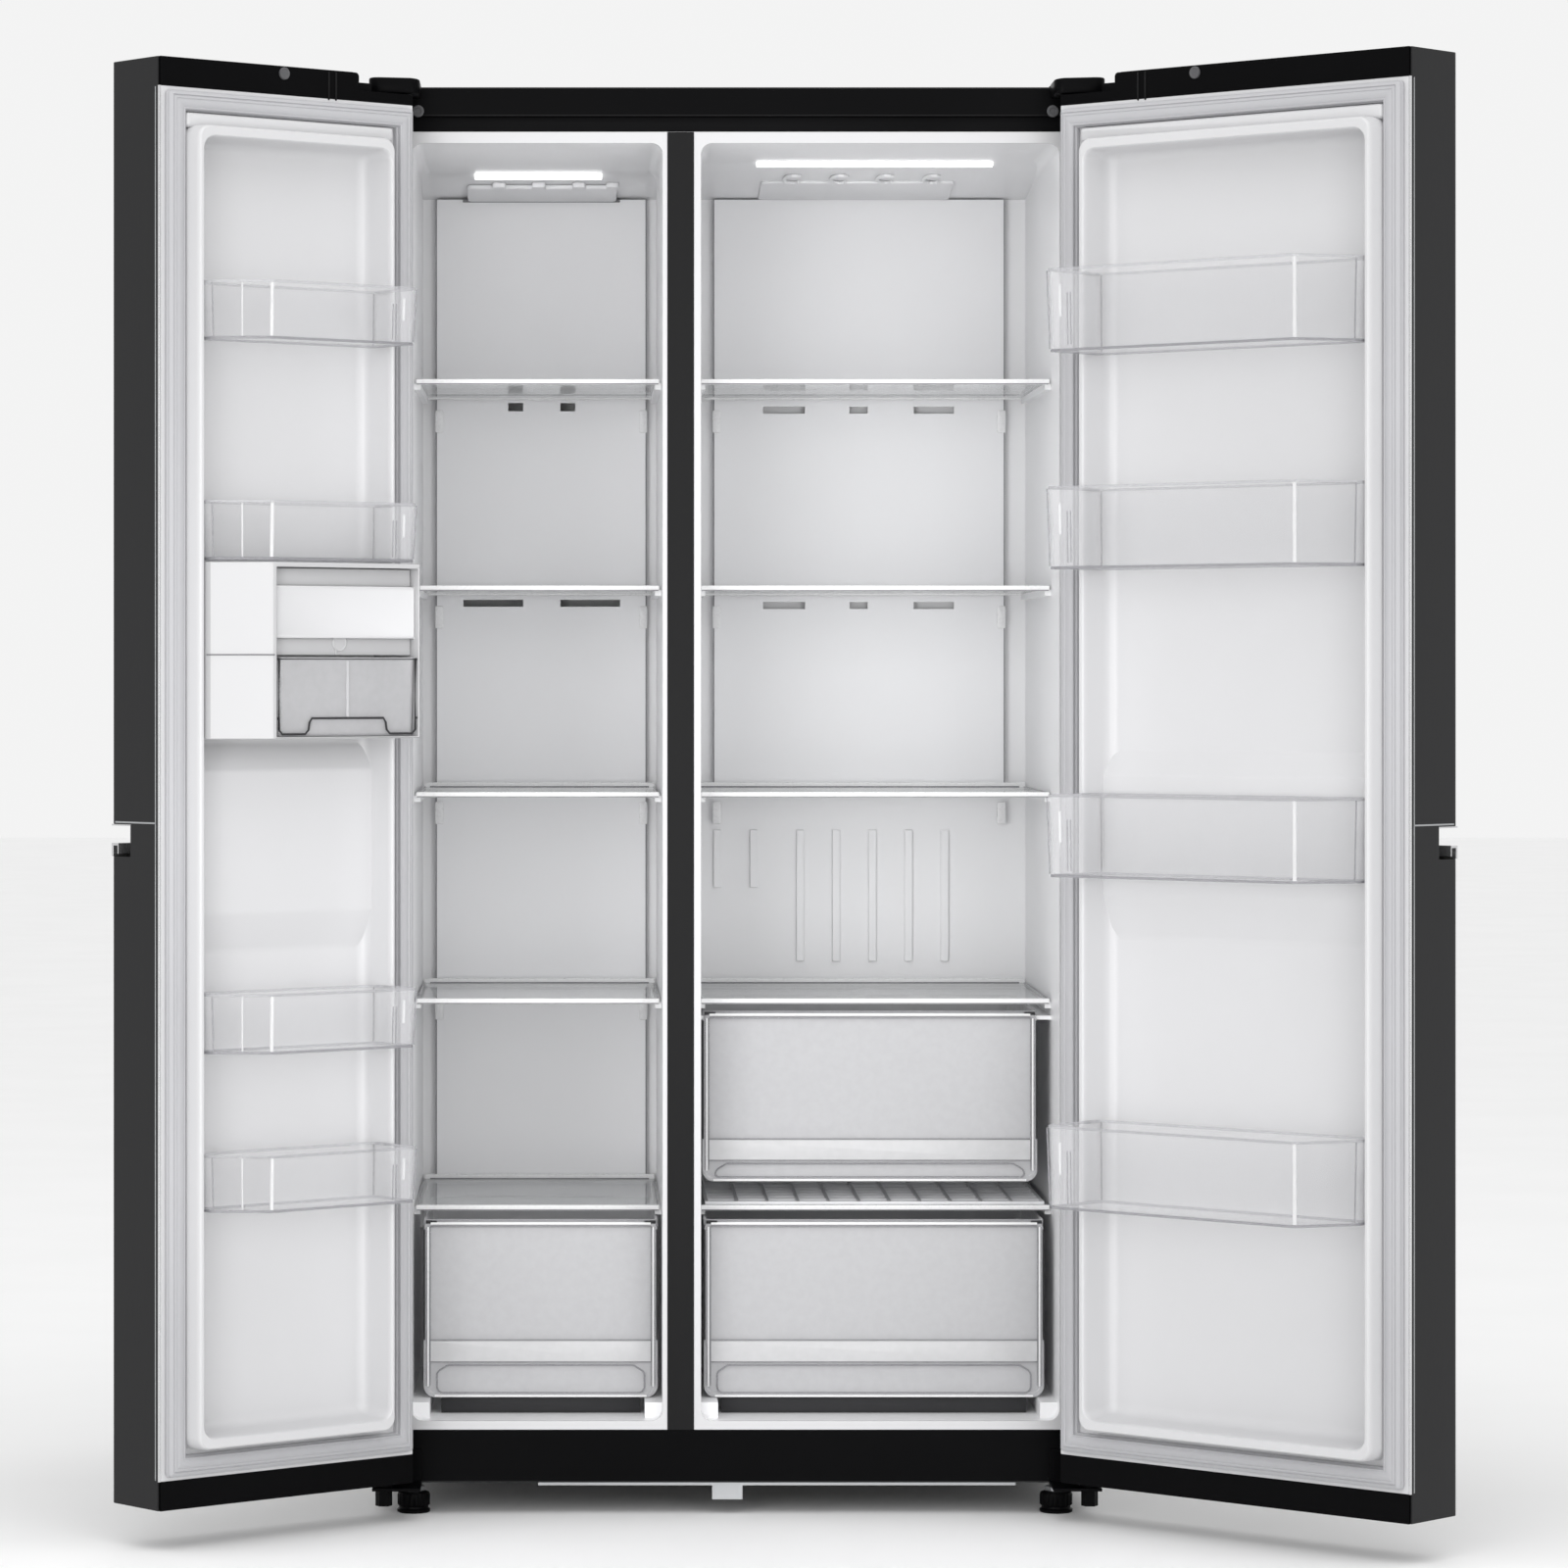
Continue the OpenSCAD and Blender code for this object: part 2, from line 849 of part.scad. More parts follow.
module door_skin_part(w) {
    difference() {
        union() {
            translate([0, 0, upper_panel_z])
                linear_extrude(door_top - upper_panel_z)
                    skin_profile(w);
            translate([0, 0, door_bottom])
                linear_extrude(upper_panel_z - door_bottom)
                    skin_profile(w);
        }
        span([-1, -door_t - 1, hinge_side_top], [hinge_recess_w, 1, door_top + 1]);
        span([-1, -door_t - 1, grip_bottom], [w + 1, -door_t + recess_d, recess_top]);
    }
}

// Space inside the raised rim of the liner, grown by g
module liner_pan(pan, bulge, g) {
    slope = 26;
    lift = pan_d - g;
    side = [
        [-pan_d - g, bulge[0] - slope + g], [-pan_d - g + lift, bulge[0] + g],
        [-pan_d - g + lift, bulge[1] - g], [-pan_d - g, bulge[1] + slope - g]
    ];
    difference() {
        prism_y(round_rect([pan[0] - g, dyke_z[0] + pan_margin - g],
                           [pan[1] + g, dyke_z[1] - pan_margin + g], 24 + g),
                -pan_d - g, 0.5);
        prism_x(side, pan[0] - g - 1, pan[1] + g + 1);
    }
}

// Raised rim of the liner, shrunk by g on every side but the back
module liner_rim(dyke, pan, g, back) {
    difference() {
        prism_y(round_rect([dyke[0] + g, dyke_z[0] + g], [dyke[1] - g, dyke_z[1] - g], 30 - g),
                back, dyke_h - g);
        prism_y(round_rect([pan[0] - g, dyke_z[0] + pan_margin - g],
                           [pan[1] + g, dyke_z[1] - pan_margin + g], 24 + g),
                back - 1, dyke_h + 1);
    }
}

module door_liner_part(w, dyke, pan, bulge) {
    difference() {
        union() {
            span([door_skin, -3, door_bottom + cap_h], [w - door_skin, 0, door_top - cap_h]);
            liner_rim(dyke, pan, 0, -0.5);
            intersection() {
                liner_pan(pan, bulge, liner);
                span([0, -door_t, 0], [w, 0, door_top]);
            }
        }
        liner_pan(pan, bulge, 0);
        liner_rim(dyke, pan, liner, -4);
    }
}

module door_foam_part(w, dyke, pan, bulge) {
    difference() {
        union() {
            span([door_skin, -door_t + door_skin, door_bottom + cap_h],
                 [w - door_skin, -3, door_top - cap_h]);
            liner_rim(dyke, pan, liner, -3.5);
        }
        liner_pan(pan, bulge, liner);
        span([0, -door_t, grip_bottom - 2], [w, -door_t + recess_d + 2, recess_top + 2]);
        span([0, -door_t, 0], [door_r, -door_t + door_r, door_top]);
        span([w - door_r, -door_t, 0], [w, -door_t + door_r, door_top]);
        pillar(pin_u, pin_y, 0, 93, 26);
        pillar(pin_u, pin_y, 1738, door_top, 26);
    }
}

module door_gasket_part(w) {
    a = [gasket_in, door_bottom + cap_h + 5];
    b = [w - gasket_in, door_top - cap_h - 5];
    difference() {
        prism_y(round_rect(a, b, 6), 0, gasket_t);
        prism_y(round_rect(a + [gasket_w, gasket_w], b - [gasket_w, gasket_w], 4),
                -1, gasket_t + 1);
        prism_y(round_rect(a + [9, 9], b - [9, 9], 5), gasket_t - 3, gasket_t + 1);
    }
}

// Closed ends of the door, with the bushes that turn on the hinge pins
module door_caps_part(w) {
    t = door_skin;
    front = -door_t + door_r;
    difference() {
        union() {
            span([t, front, door_top - cap_h], [w - t, 0, hinge_side_top]);
            span([hinge_recess_w, front, hinge_side_top - 1], [w - t, 0, door_top]);
            pillar(pin_u, pin_y, 1738, door_top - cap_h + 1, 26);
        }
        span([hinge_recess_w + 3, front + 3, door_top - cap_h - 1], [w - t - 3, -3, door_top - 3]);
        pillar(pin_u, pin_y, 1742, door_top, pin_d + play);
    }
    difference() {
        union() {
            span([t, front, door_bottom], [w - t, 0, door_bottom + cap_h]);
            pillar(pin_u, pin_y, door_bottom + cap_h - 1, 93, 26);
            span([5, -75, door_bottom - 4], [95, -25, door_bottom + 1]);
        }
        span([hinge_recess_w, front + 3, door_bottom + 3], [w - t - 3, -3, door_bottom + cap_h + 1]);
        pillar(pin_u, pin_y, door_bottom - 5, 80, low_pin_d + play);
    }
}

// Black channel behind the grip
module door_recess_part(w) {
    t = 2;
    mouth = -door_t + door_r;
    back = -door_t + recess_d;
    side = [
        [mouth, grip_bottom - t], [back + t, grip_bottom - t],
        [back + t, recess_top + t], [mouth, recess_top + t],
        [mouth, recess_top], [back, recess_top],
        [back, grip_bottom], [mouth, grip_bottom]
    ];
    prism_x(side, door_skin, w - door_skin);
}

// Bright grip lip, lip of the upper panel and strip along the free edge
module door_trim_part(w) {
    side = [
        [-door_t, grip_bottom], [-door_t + 3, grip_bottom], [-door_t + 3, grip_top - 3],
        [-door_t + 12, grip_top - 3], [-door_t + 12, grip_bottom + 3],
        [-door_t + 14, grip_bottom + 3], [-door_t + 14, grip_top], [-door_t, grip_top]
    ];
    prism_x(side, 1, w - 1);
    span([1, -door_t, recess_top - 2], [w - 1, -door_t + recess_d - 1, recess_top]);
    span([w - door_skin, -3, door_bottom + cap_h], [w, 0, door_top - cap_h]);
}

// Plan of a door bin, drawn in by g: square end, main face, slanted end
function bin_plan(u0, crease, u1, depth, g) =
    let (lean = atan2(depth - bin_end_y, u1 - crease))
    [
        [u0 + g, bin_back + g], [u1 - g, bin_back + g],
        [u1 - g, bin_end_y - g * tan((90 - lean) / 2)],
        [crease - g * tan(lean / 2), depth - g], [u0 + g, depth - g]
    ];

module door_bin(pan, crease, depth, z) {
    difference() {
        translate([0, 0, z[0]])
            linear_extrude(z[1] - z[0])
                polygon(bin_plan(pan[0], crease, pan[1], depth, 0));
        translate([0, 0, z[0] + bin_t])
            linear_extrude(z[1] - z[0])
                polygon(bin_plan(pan[0], crease, pan[1], depth, bin_t));
    }
}

module freezer_bin(i) {
    color("#dce3e6", 0.5)
        freezer_door()
            door_bin(freezer_pan, freezer_crease, freezer_bin_depth, freezer_bins[i]);
}

module fridge_bin(i) {
    color("#dce3e6", 0.5)
        fridge_door()
            door_bin(fridge_pan, fridge_crease, fridge_bin_depth, fridge_bins[i]);
}

// Ice maker on the freezer door

module ice_maker_housing() {
    t = bin_t;
    u0 = freezer_pan[0];
    depth = freezer_bin_depth;
    color("#f1f1f2")
        freezer_door()
            difference() {
                union() {
                    difference() {
                        translate([0, 0, ice_z[0]])
                            linear_extrude(ice_z[1] - ice_z[0])
                                polygon(bin_plan(u0, freezer_crease, freezer_pan[1], depth, 0));
                        translate([0, 0, ice_z[0] + t])
                            linear_extrude(ice_z[1] - ice_z[0] - 2 * t)
                                polygon(bin_plan(u0, freezer_crease, freezer_pan[1], depth, t));
                        span([u0 + t, depth - t - 1, ice_z[0] + t], [ice_split, depth + 1, 1179]);
                    }
                    span([ice_split, bin_back + 1, ice_z[0] + 1],
                         [ice_split + t, depth - 1, ice_z[1] - 1]);
                    span([u0 + 1, depth - 12, 1094], [ice_split + 1, depth - 9, 1157]);
                }
                rod_x(u0 - 1, ice_split + t + 1, tray_axis[0], tray_axis[1], 8 + play);
            }
}

module ice_tray() {
    u = [freezer_pan[0] + 7, ice_split - 5];
    cells = 7;
    cell_w = (u[1] - u[0] - 2) / cells;
    color("#dfe6ea")
        freezer_door()
            difference() {
                union() {
                    span([u[0], tray_axis[0] - 27, tray_axis[1] - 15],
                         [u[1], tray_axis[0] + 27, tray_axis[1] + 13]);
                    rod_x(u[0] - 6.5, u[1] + 6.5, tray_axis[0], tray_axis[1], 8);
                }
                for (i = [0 : cells - 1])
                    for (y = [-25, 1])
                        translate([u[0] + 2 + i * cell_w, tray_axis[0] + y, tray_axis[1] + 5])
                            cube([cell_w - 2, 24, 20]);
            }
}

module ice_bin() {
    a = [freezer_pan[0] + 4, 8, ice_z[0] + bin_t + run_gap];
    b = [ice_split - 1.5, freezer_bin_depth - 1, ice_bin_top];
    notch = [0.22, 0.78];
    color("#c9d0d4", 0.5)
        freezer_door()
            difference() {
                span(a, b);
                span(a + [2.5, 2.5, 2.5], [b[0] - 2.5, b[1] - 3, b[2] + 1]);
                span([a[0] + notch[0] * (b[0] - a[0]), b[1] - 1.2, a[2] - 1],
                     [a[0] + notch[1] * (b[0] - a[0]), b[1] + 1, a[2] + 20]);
            }
}

// Freezer door

module freezer_door_skin() {
    color("#3a3a3c")
        freezer_door()
            door_skin_part(freezer_door_w);
}

module freezer_door_foam() {
    color("#e8dfae")
        freezer_door()
            door_foam_part(freezer_door_w, freezer_dyke, freezer_pan, freezer_bulge);
}

module freezer_door_liner() {
    color("#e9e9eb")
        freezer_door()
            door_liner_part(freezer_door_w, freezer_dyke, freezer_pan, freezer_bulge);
}

module freezer_door_gasket() {
    color("#bcbbc0")
        freezer_door()
            door_gasket_part(freezer_door_w);
}

module freezer_door_caps() {
    color("#141415")
        freezer_door()
            door_caps_part(freezer_door_w);
}

module freezer_door_recess() {
    color("#141415")
        freezer_door()
            door_recess_part(freezer_door_w);
}

module freezer_door_trim() {
    color("#a8aaad")
        freezer_door()
            door_trim_part(freezer_door_w);
}

module freezer_door_bin_1() { freezer_bin(0); }
module freezer_door_bin_2() { freezer_bin(1); }
module freezer_door_bin_3() { freezer_bin(2); }
module freezer_door_bin_4() { freezer_bin(3); }

// Refrigerator door

module fridge_door_skin() {
    color("#3a3a3c")
        fridge_door()
            door_skin_part(fridge_door_w);
}

module fridge_door_foam() {
    color("#e8dfae")
        fridge_door()
            door_foam_part(fridge_door_w, fridge_dyke, fridge_pan, fridge_bulge);
}

module fridge_door_liner() {
    color("#e9e9eb")
        fridge_door()
            door_liner_part(fridge_door_w, fridge_dyke, fridge_pan, fridge_bulge);
}

module fridge_door_gasket() {
    color("#bcbbc0")
        fridge_door()
            door_gasket_part(fridge_door_w);
}

module fridge_door_caps() {
    color("#141415")
        fridge_door()
            door_caps_part(fridge_door_w);
}

module fridge_door_recess() {
    color("#141415")
        fridge_door()
            door_recess_part(fridge_door_w);
}

module fridge_door_trim() {
    color("#a8aaad")
        fridge_door()
            door_trim_part(fridge_door_w);
}

module fridge_door_bin_1() { fridge_bin(0); }
module fridge_door_bin_2() { fridge_bin(1); }
module fridge_door_bin_3() { fridge_bin(2); }
module fridge_door_bin_4() { fridge_bin(3); }

cabinet_shell();
rear_panel();
cabinet_foam();
freezer_liner();
fridge_liner();
top_rail();
mullion_cover();
base_beam();
base_strip();
freezer_air_duct();
fridge_air_duct();
interior_lamps();
shelf_glass();
shelf_trims();
crisper_grid();
upper_hinges();
hinge_covers();
lower_hinges();
compressor();
condenser_coil();
evaporator();
fan_motors();
drain_pan();
machine_room_cover();
power_inlet();
roller_brackets();
evaporator_fan();
condenser_fan();
front_foot_left();
front_foot_right();
rear_roller_left();
rear_roller_right();
freezer_drawer();
upper_crisper();
lower_crisper();
freezer_door_skin();
freezer_door_foam();
freezer_door_liner();
freezer_door_gasket();
freezer_door_caps();
freezer_door_recess();
freezer_door_trim();
freezer_door_bin_1();
freezer_door_bin_2();
freezer_door_bin_3();
freezer_door_bin_4();
ice_maker_housing();
ice_tray();
ice_bin();
fridge_door_skin();
fridge_door_foam();
fridge_door_liner();
fridge_door_gasket();
fridge_door_caps();
fridge_door_recess();
fridge_door_trim();
fridge_door_bin_1();
fridge_door_bin_2();
fridge_door_bin_3();
fridge_door_bin_4();
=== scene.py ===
import json
import math

import bmesh
import bpy
import numpy as np
from mathutils import Matrix, Vector


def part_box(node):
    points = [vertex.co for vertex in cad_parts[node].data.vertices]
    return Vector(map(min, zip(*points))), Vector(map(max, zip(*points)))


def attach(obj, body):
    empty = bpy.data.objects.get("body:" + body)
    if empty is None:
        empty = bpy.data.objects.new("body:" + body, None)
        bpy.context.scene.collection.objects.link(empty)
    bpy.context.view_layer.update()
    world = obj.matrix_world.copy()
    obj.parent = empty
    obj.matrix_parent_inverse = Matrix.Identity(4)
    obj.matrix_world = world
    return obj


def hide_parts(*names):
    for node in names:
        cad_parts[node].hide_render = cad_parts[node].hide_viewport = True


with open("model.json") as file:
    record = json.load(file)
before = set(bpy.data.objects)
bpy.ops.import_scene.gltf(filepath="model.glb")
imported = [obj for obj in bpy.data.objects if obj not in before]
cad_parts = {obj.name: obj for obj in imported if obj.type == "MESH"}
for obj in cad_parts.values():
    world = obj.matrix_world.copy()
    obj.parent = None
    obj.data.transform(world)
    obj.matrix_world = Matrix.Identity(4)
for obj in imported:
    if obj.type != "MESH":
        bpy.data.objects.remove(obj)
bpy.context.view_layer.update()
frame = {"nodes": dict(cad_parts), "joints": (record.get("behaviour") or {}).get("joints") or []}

MM = 0.001    # everything is drawn in millimetres, and piece() turns it into metres
SHARP = math.radians(32)


# ---------------------------------------- mesh helpers

def inset_corners(corners, inset):
    """The corners of a convex anticlockwise outline, each side moved in by inset."""
    points = [Vector(c) for c in corners]
    moved = []
    for i, point in enumerate(points):
        before = (point - points[i - 1]).normalized()
        after = (points[(i + 1) % len(points)] - point).normalized()
        left, right = Vector((-before.y, before.x)), Vector((-after.y, after.x))
        moved.append(point + (left + right) * inset / (1 + left.dot(right)))
    return moved


def rounded(corners, inset=0.0, radius=0.0, steps=5):
    """An outline with round corners: steps + 1 points at each corner."""
    points = inset_corners(corners, inset)
    outline = []
    for i, point in enumerate(points):
        back = points[i - 1] - point
        ahead = points[(i + 1) % len(points)] - point
        half = back.angle(ahead) / 2
        room = 0.48 * min(back.length, ahead.length)
        run = min(max(radius - inset, 0.3) / math.tan(half), room)
        fillet = run * math.tan(half)
        middle = point + (back.normalized() + ahead.normalized()).normalized() * fillet / math.sin(half)
        start = point + back.normalized() * run - middle
        sweep = math.pi - 2 * half
        for k in range(steps + 1):
            turn = Matrix.Rotation(sweep * k / steps, 2)
            outline.append(middle + turn @ start)
    return outline


def rect(low, high):
    """Corners of a rectangle, anticlockwise."""
    return [(low[0], low[1]), (high[0], low[1]), (high[0], high[1]), (low[0], high[1])]


def loft(rings, closed=False):
    """A skin through rings of equally many points; open ends get a flat cap."""
    bm = bmesh.new()
    rows = [[bm.verts.new(p) for p in ring] for ring in rings]
    count = len(rows[0])
    for i in range(len(rows) if closed else len(rows) - 1):
        low, high = rows[i], rows[(i + 1) % len(rows)]
        for j in range(count):
            k = (j + 1) % count
            bm.faces.new((low[j], low[k], high[k], high[j]))
    if not closed:
        bm.faces.new(rows[0])
        bm.faces.new(rows[-1])
    return bm


def swept(corners, profile, place, radius=0.0, steps=5, closed=False):
    """A loft whose rings are one outline, inset and raised as the profile says."""
    rings = []
    for inset, height in profile:
        outline = rounded(corners, inset, radius, steps)
        rings.append([place(p.x, p.y, height) for p in outline])
    return loft(rings, closed)


def block(low, high, place, radius=1.0, edge=0.6, steps=4):
    """A box with round upright corners and softened upper and lower edges."""
    edge = min(edge, 0.3 * (high[0] - low[0]), 0.3 * (high[1] - low[1]))
    profile = [(edge, low[2]), (edge * 0.3, low[2] + edge * 0.3), (0, low[2] + edge),
               (0, high[2] - edge), (edge * 0.3, high[2] - edge * 0.3), (edge, high[2])]
    return swept(rect(low[:2], high[:2]), profile, place, radius, steps)


def lathe(profile, place, steps=48):
    """A turned piece: the profile is (radius, height) pairs from axis to axis."""
    rings = []
    angles = [2 * math.pi * k / steps for k in range(steps)]
    for radius, height in profile:
        rings.append([place(radius * math.cos(t), radius * math.sin(t), height) for t in angles])
    return loft(rings)


def tube(points, radius, steps=8):
    """A round bar along a path."""
    rings = []
    angles = [2 * math.pi * k / steps for k in range(steps)]
    for i, point in enumerate(points):
        ahead = points[min(i + 1, len(points) - 1)] - points[max(i - 1, 0)]
        turn = ahead.to_track_quat("Z", "Y").to_matrix()
        rings.append([point + turn @ Vector((radius * math.cos(t), radius * math.sin(t), 0))
                      for t in angles])
    return loft(rings)


def merged(parts):
    """Several bmeshes as one."""
    whole = bmesh.new()
    for part in parts:
        mesh = bpy.data.meshes.new("part")
        part.to_mesh(mesh)
        part.free()
        whole.from_mesh(mesh)
        bpy.data.meshes.remove(mesh)
    return whole


def smooth_with_sharp_edges(mesh):
    """Smooth faces, with edges left sharp where they bend by more than SHARP."""
    bm = bmesh.new()
    bm.from_mesh(mesh)
    bmesh.ops.recalc_face_normals(bm, faces=bm.faces)
    for face in bm.faces:
        face.smooth = True
    for edge in bm.edges:
        edge.smooth = len(edge.link_faces) == 2 and edge.calc_face_angle(0) < SHARP
    bm.to_mesh(mesh)
    bm.free()


def add_object(name, data):
    """A new object in the scene."""
    obj = bpy.data.objects.new(name, data)
    bpy.context.scene.collection.objects.link(obj)
    return obj


def piece(name, bm, body, material, replaces=(), bevel=0.0):
    """Turns a bmesh drawn in millimetres into a piece that rides on a body."""
    mesh = bpy.data.meshes.new(name)
    bm.transform(Matrix.Scale(MM, 4))
    bm.to_mesh(mesh)
    bm.free()
    smooth_with_sharp_edges(mesh)
    mesh.materials.append(MATERIALS[material])
    obj = add_object(name, mesh)
    if bevel:
        add_bevel(obj, bevel)
    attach(obj, body)
    if replaces:
        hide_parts(*replaces)


def add_bevel(obj, width):
    bevel = obj.modifiers.new("edges", "BEVEL")
    bevel.width = width * MM
    bevel.segments = 2
    bevel.limit_method = "ANGLE"
    bevel.angle_limit = SHARP
    bevel.use_clamp_overlap = True
    bevel.harden_normals = False


def dress(node, material, bevel):
    """Gives a CAD node its material and soft edges; its own mesh stays as it is."""
    obj = frame["nodes"][node]
    obj.data.materials.clear()
    obj.data.materials.append(MATERIALS[material])
    for polygon in obj.data.polygons:
        polygon.use_smooth = True
    weld = obj.modifiers.new("weld", "WELD")
    weld.merge_threshold = 0.01 * MM
    if bevel:
        add_bevel(obj, bevel)
    normals = obj.modifiers.new("normals", "WEIGHTED_NORMAL")
    normals.keep_sharp = True


# ---------------------------------------- places and sizes

def upright(a, b, h):
    """Outline in (x, y), height along z."""
    return Vector((a, b, h))


def facing_front(a, b, h):
    """Outline in (x, z), height along y."""
    return Vector((a, h, b))


def in_mm(corners):
    """Corners that the frame gives in metres, in millimetres."""
    return [corner / MM for corner in corners]


def solids(node):
    """Lowest and highest corner of each separate solid of a CAD node."""
    bm = bmesh.new()
    bm.from_mesh(frame["nodes"][node].data)
    bmesh.ops.remove_doubles(bm, verts=bm.verts, dist=0.01 * MM)
    waiting, boxes = set(bm.verts), []
    while waiting:
        front, found = [waiting.pop()], []
        while front:
            vert = front.pop()
            found.append(tuple(vert.co))
            near = {edge.other_vert(vert) for edge in vert.link_edges} & waiting
            waiting -= near
            front.extend(near)
        points = np.array(found) / MM
        boxes.append((Vector(points.min(0)), Vector(points.max(0))))
    bm.free()
    return sorted(boxes, key=lambda b: (round(b[0].x), round(b[0].z)))


class Door:
    """A door's own axes, drawn closed: u from the hinge edge, y into the cabinet, z up."""

    def __init__(self, name, side):
        self.name = name
        self.joint = next(j for j in frame["joints"] if j["child"] == name)
        pin = Vector(self.joint["pos_m"]) / MM
        opened = -math.radians(self.joint["range_deg"][0])
        swing = (Matrix.Translation((pin.x, pin.y, 0)) @ Matrix.Rotation(-side * opened, 4, "Z")
                 @ Matrix.Diagonal((side, 1, 1, 1)))
        self.matrix = swing
        hinge_edge = self.box("skin")[0].x
        inner_face = self.box("caps")[1].y
        self.matrix = swing @ Matrix.Translation((hinge_edge, inner_face, 0))
        self.width = self.box("skin")[1].x
        self.handle_z = sum(v.z for v in self.box("recess")) / 2

    def points(self, part):
        node = part if part in frame["nodes"] else f"{self.name}_{part}"
        back = self.matrix.inverted()
        return [back @ (v.co / MM) for v in frame["nodes"][node].data.vertices]

    def box(self, part, keep=lambda p: True):
        found = np.array([tuple(p) for p in self.points(part) if keep(p)])
        return Vector(found.min(0)), Vector(found.max(0))

    def flat(self, a, b, h):
        """Outline in (u, y), height along z."""
        return self.matrix @ Vector((a, b, h))

    def face(self, a, b, h):
        """Outline in (u, z), height along y."""
        return self.matrix @ Vector((a, h, b))

    def side(self, a, b, h):
        """Outline in (y, z), height along u."""
        return self.matrix @ Vector((h, a, b))


freezer = Door("freezer_door", 1)
fridge = Door("fridge_door", -1)


# ---------------------------------------- materials

MATERIALS = {}    # every material by its name, filled by shader()


def shader(name, color, roughness, metallic=0.0, **sockets):
    """A Principled material; returns it with its nodes, links and shader node."""
    material = bpy.data.materials.new(name)
    MATERIALS[name] = material
    material.use_nodes = True
    nodes, links = material.node_tree.nodes, material.node_tree.links
    principled = nodes["Principled BSDF"]
    principled.inputs["Base Color"].default_value = (*color, 1)
    principled.inputs["Roughness"].default_value = roughness
    principled.inputs["Metallic"].default_value = metallic
    for socket, value in sockets.items():
        principled.inputs[socket.replace("_", " ")].default_value = value
    return material, nodes, links, principled


def surface_noise(nodes, links, scale, stretch=(1, 1, 1), detail=4.0):
    """Noise that sits in the object's own space."""
    place = nodes.new("ShaderNodeTexCoord")
    mapping = nodes.new("ShaderNodeMapping")
    mapping.inputs["Scale"].default_value = stretch
    noise = nodes.new("ShaderNodeTexNoise")
    noise.inputs["Scale"].default_value = scale
    noise.inputs["Detail"].default_value = detail
    links.new(place.outputs["Object"], mapping.inputs["Vector"])
    links.new(mapping.outputs["Vector"], noise.inputs["Vector"])
    return noise


def vary_color(nodes, links, principled, noise, dark, light):
    """Colour that drifts between two close tones."""
    ramp = nodes.new("ShaderNodeValToRGB")
    ramp.color_ramp.elements[0].position = 0.35
    ramp.color_ramp.elements[0].color = (*dark, 1)
    ramp.color_ramp.elements[1].position = 0.65
    ramp.color_ramp.elements[1].color = (*light, 1)
    links.new(noise.outputs["Fac"], ramp.inputs["Fac"])
    links.new(ramp.outputs["Color"], principled.inputs["Base Color"])


def vary_roughness(nodes, links, principled, noise, low, high):
    spread = nodes.new("ShaderNodeMapRange")
    spread.inputs["To Min"].default_value = low
    spread.inputs["To Max"].default_value = high
    links.new(noise.outputs["Fac"], spread.inputs["Value"])
    links.new(spread.outputs["Result"], principled.inputs["Roughness"])


def add_bump(nodes, links, principled, noise, strength, distance):
    bump = nodes.new("ShaderNodeBump")
    bump.inputs["Strength"].default_value = strength
    bump.inputs["Distance"].default_value = distance
    links.new(noise.outputs["Fac"], bump.inputs["Height"])
    links.new(bump.outputs["Normal"], principled.inputs["Normal"])


def tones(color, spread):
    """A darker and a lighter neighbour of a colour."""
    return tuple(c * (1 - spread) for c in color), tuple(min(c * (1 + spread), 1) for c in color)


def coated(name, color, roughness, grain, bump, spread=0.03, metallic=0.0, stretch=(1, 1, 1), **sockets):
    """Moulded or painted stock: broad colour drift, fine grain and uneven gloss."""
    material, nodes, links, principled = shader(name, color, roughness, metallic, **sockets)
    broad = surface_noise(nodes, links, 3.0, stretch, 3.0)
    fine = surface_noise(nodes, links, grain, stretch, 5.0)
    vary_color(nodes, links, principled, broad, *tones(color, spread))
    vary_roughness(nodes, links, principled, fine, roughness * 0.85, roughness * 1.15)
    add_bump(nodes, links, principled, fine, 0.25, bump)
    return material


def see_through(name, color, roughness, clear, edge):
    """Clear plastic or glass: nearly open face on, denser where seen edgewise."""
    _, nodes, links, principled = shader(name, color, roughness)
    principled.inputs["IOR"].default_value = 1.49
    facing = nodes.new("ShaderNodeLayerWeight")
    facing.inputs["Blend"].default_value = 0.35
    cover = nodes.new("ShaderNodeMapRange")
    cover.inputs["To Min"].default_value = clear
    cover.inputs["To Max"].default_value = edge
    links.new(facing.outputs["Facing"], cover.inputs["Value"])
    links.new(cover.outputs["Result"], principled.inputs["Alpha"])
    fine = surface_noise(nodes, links, 90.0, detail=3.0)
    vary_color(nodes, links, principled, fine, *tones(color, 0.02))
    vary_roughness(nodes, links, principled, fine, roughness * 0.7, roughness * 1.4)


def dark_steel():
    coated("dark_steel", (0.016, 0.016, 0.0168), 0.40, 420, 0.00002, 0.10, metallic=0.2,
           stretch=(1, 1, 0.12), Specular_IOR_Level=0.16)


def black_plastic():
    coated("black_plastic", (0.0025, 0.0025, 0.0028), 0.34, 900, 0.00003, 0.15, Specular_IOR_Level=0.035)


def textured_black():
    coated("textured_black", (0.004, 0.004, 0.0044), 0.6, 520, 0.0004, 0.3, Specular_IOR_Level=0.05)


def white_liner():
    coated("white_liner", (0.58, 0.58, 0.59), 0.34, 240, 0.00003, 0.012)


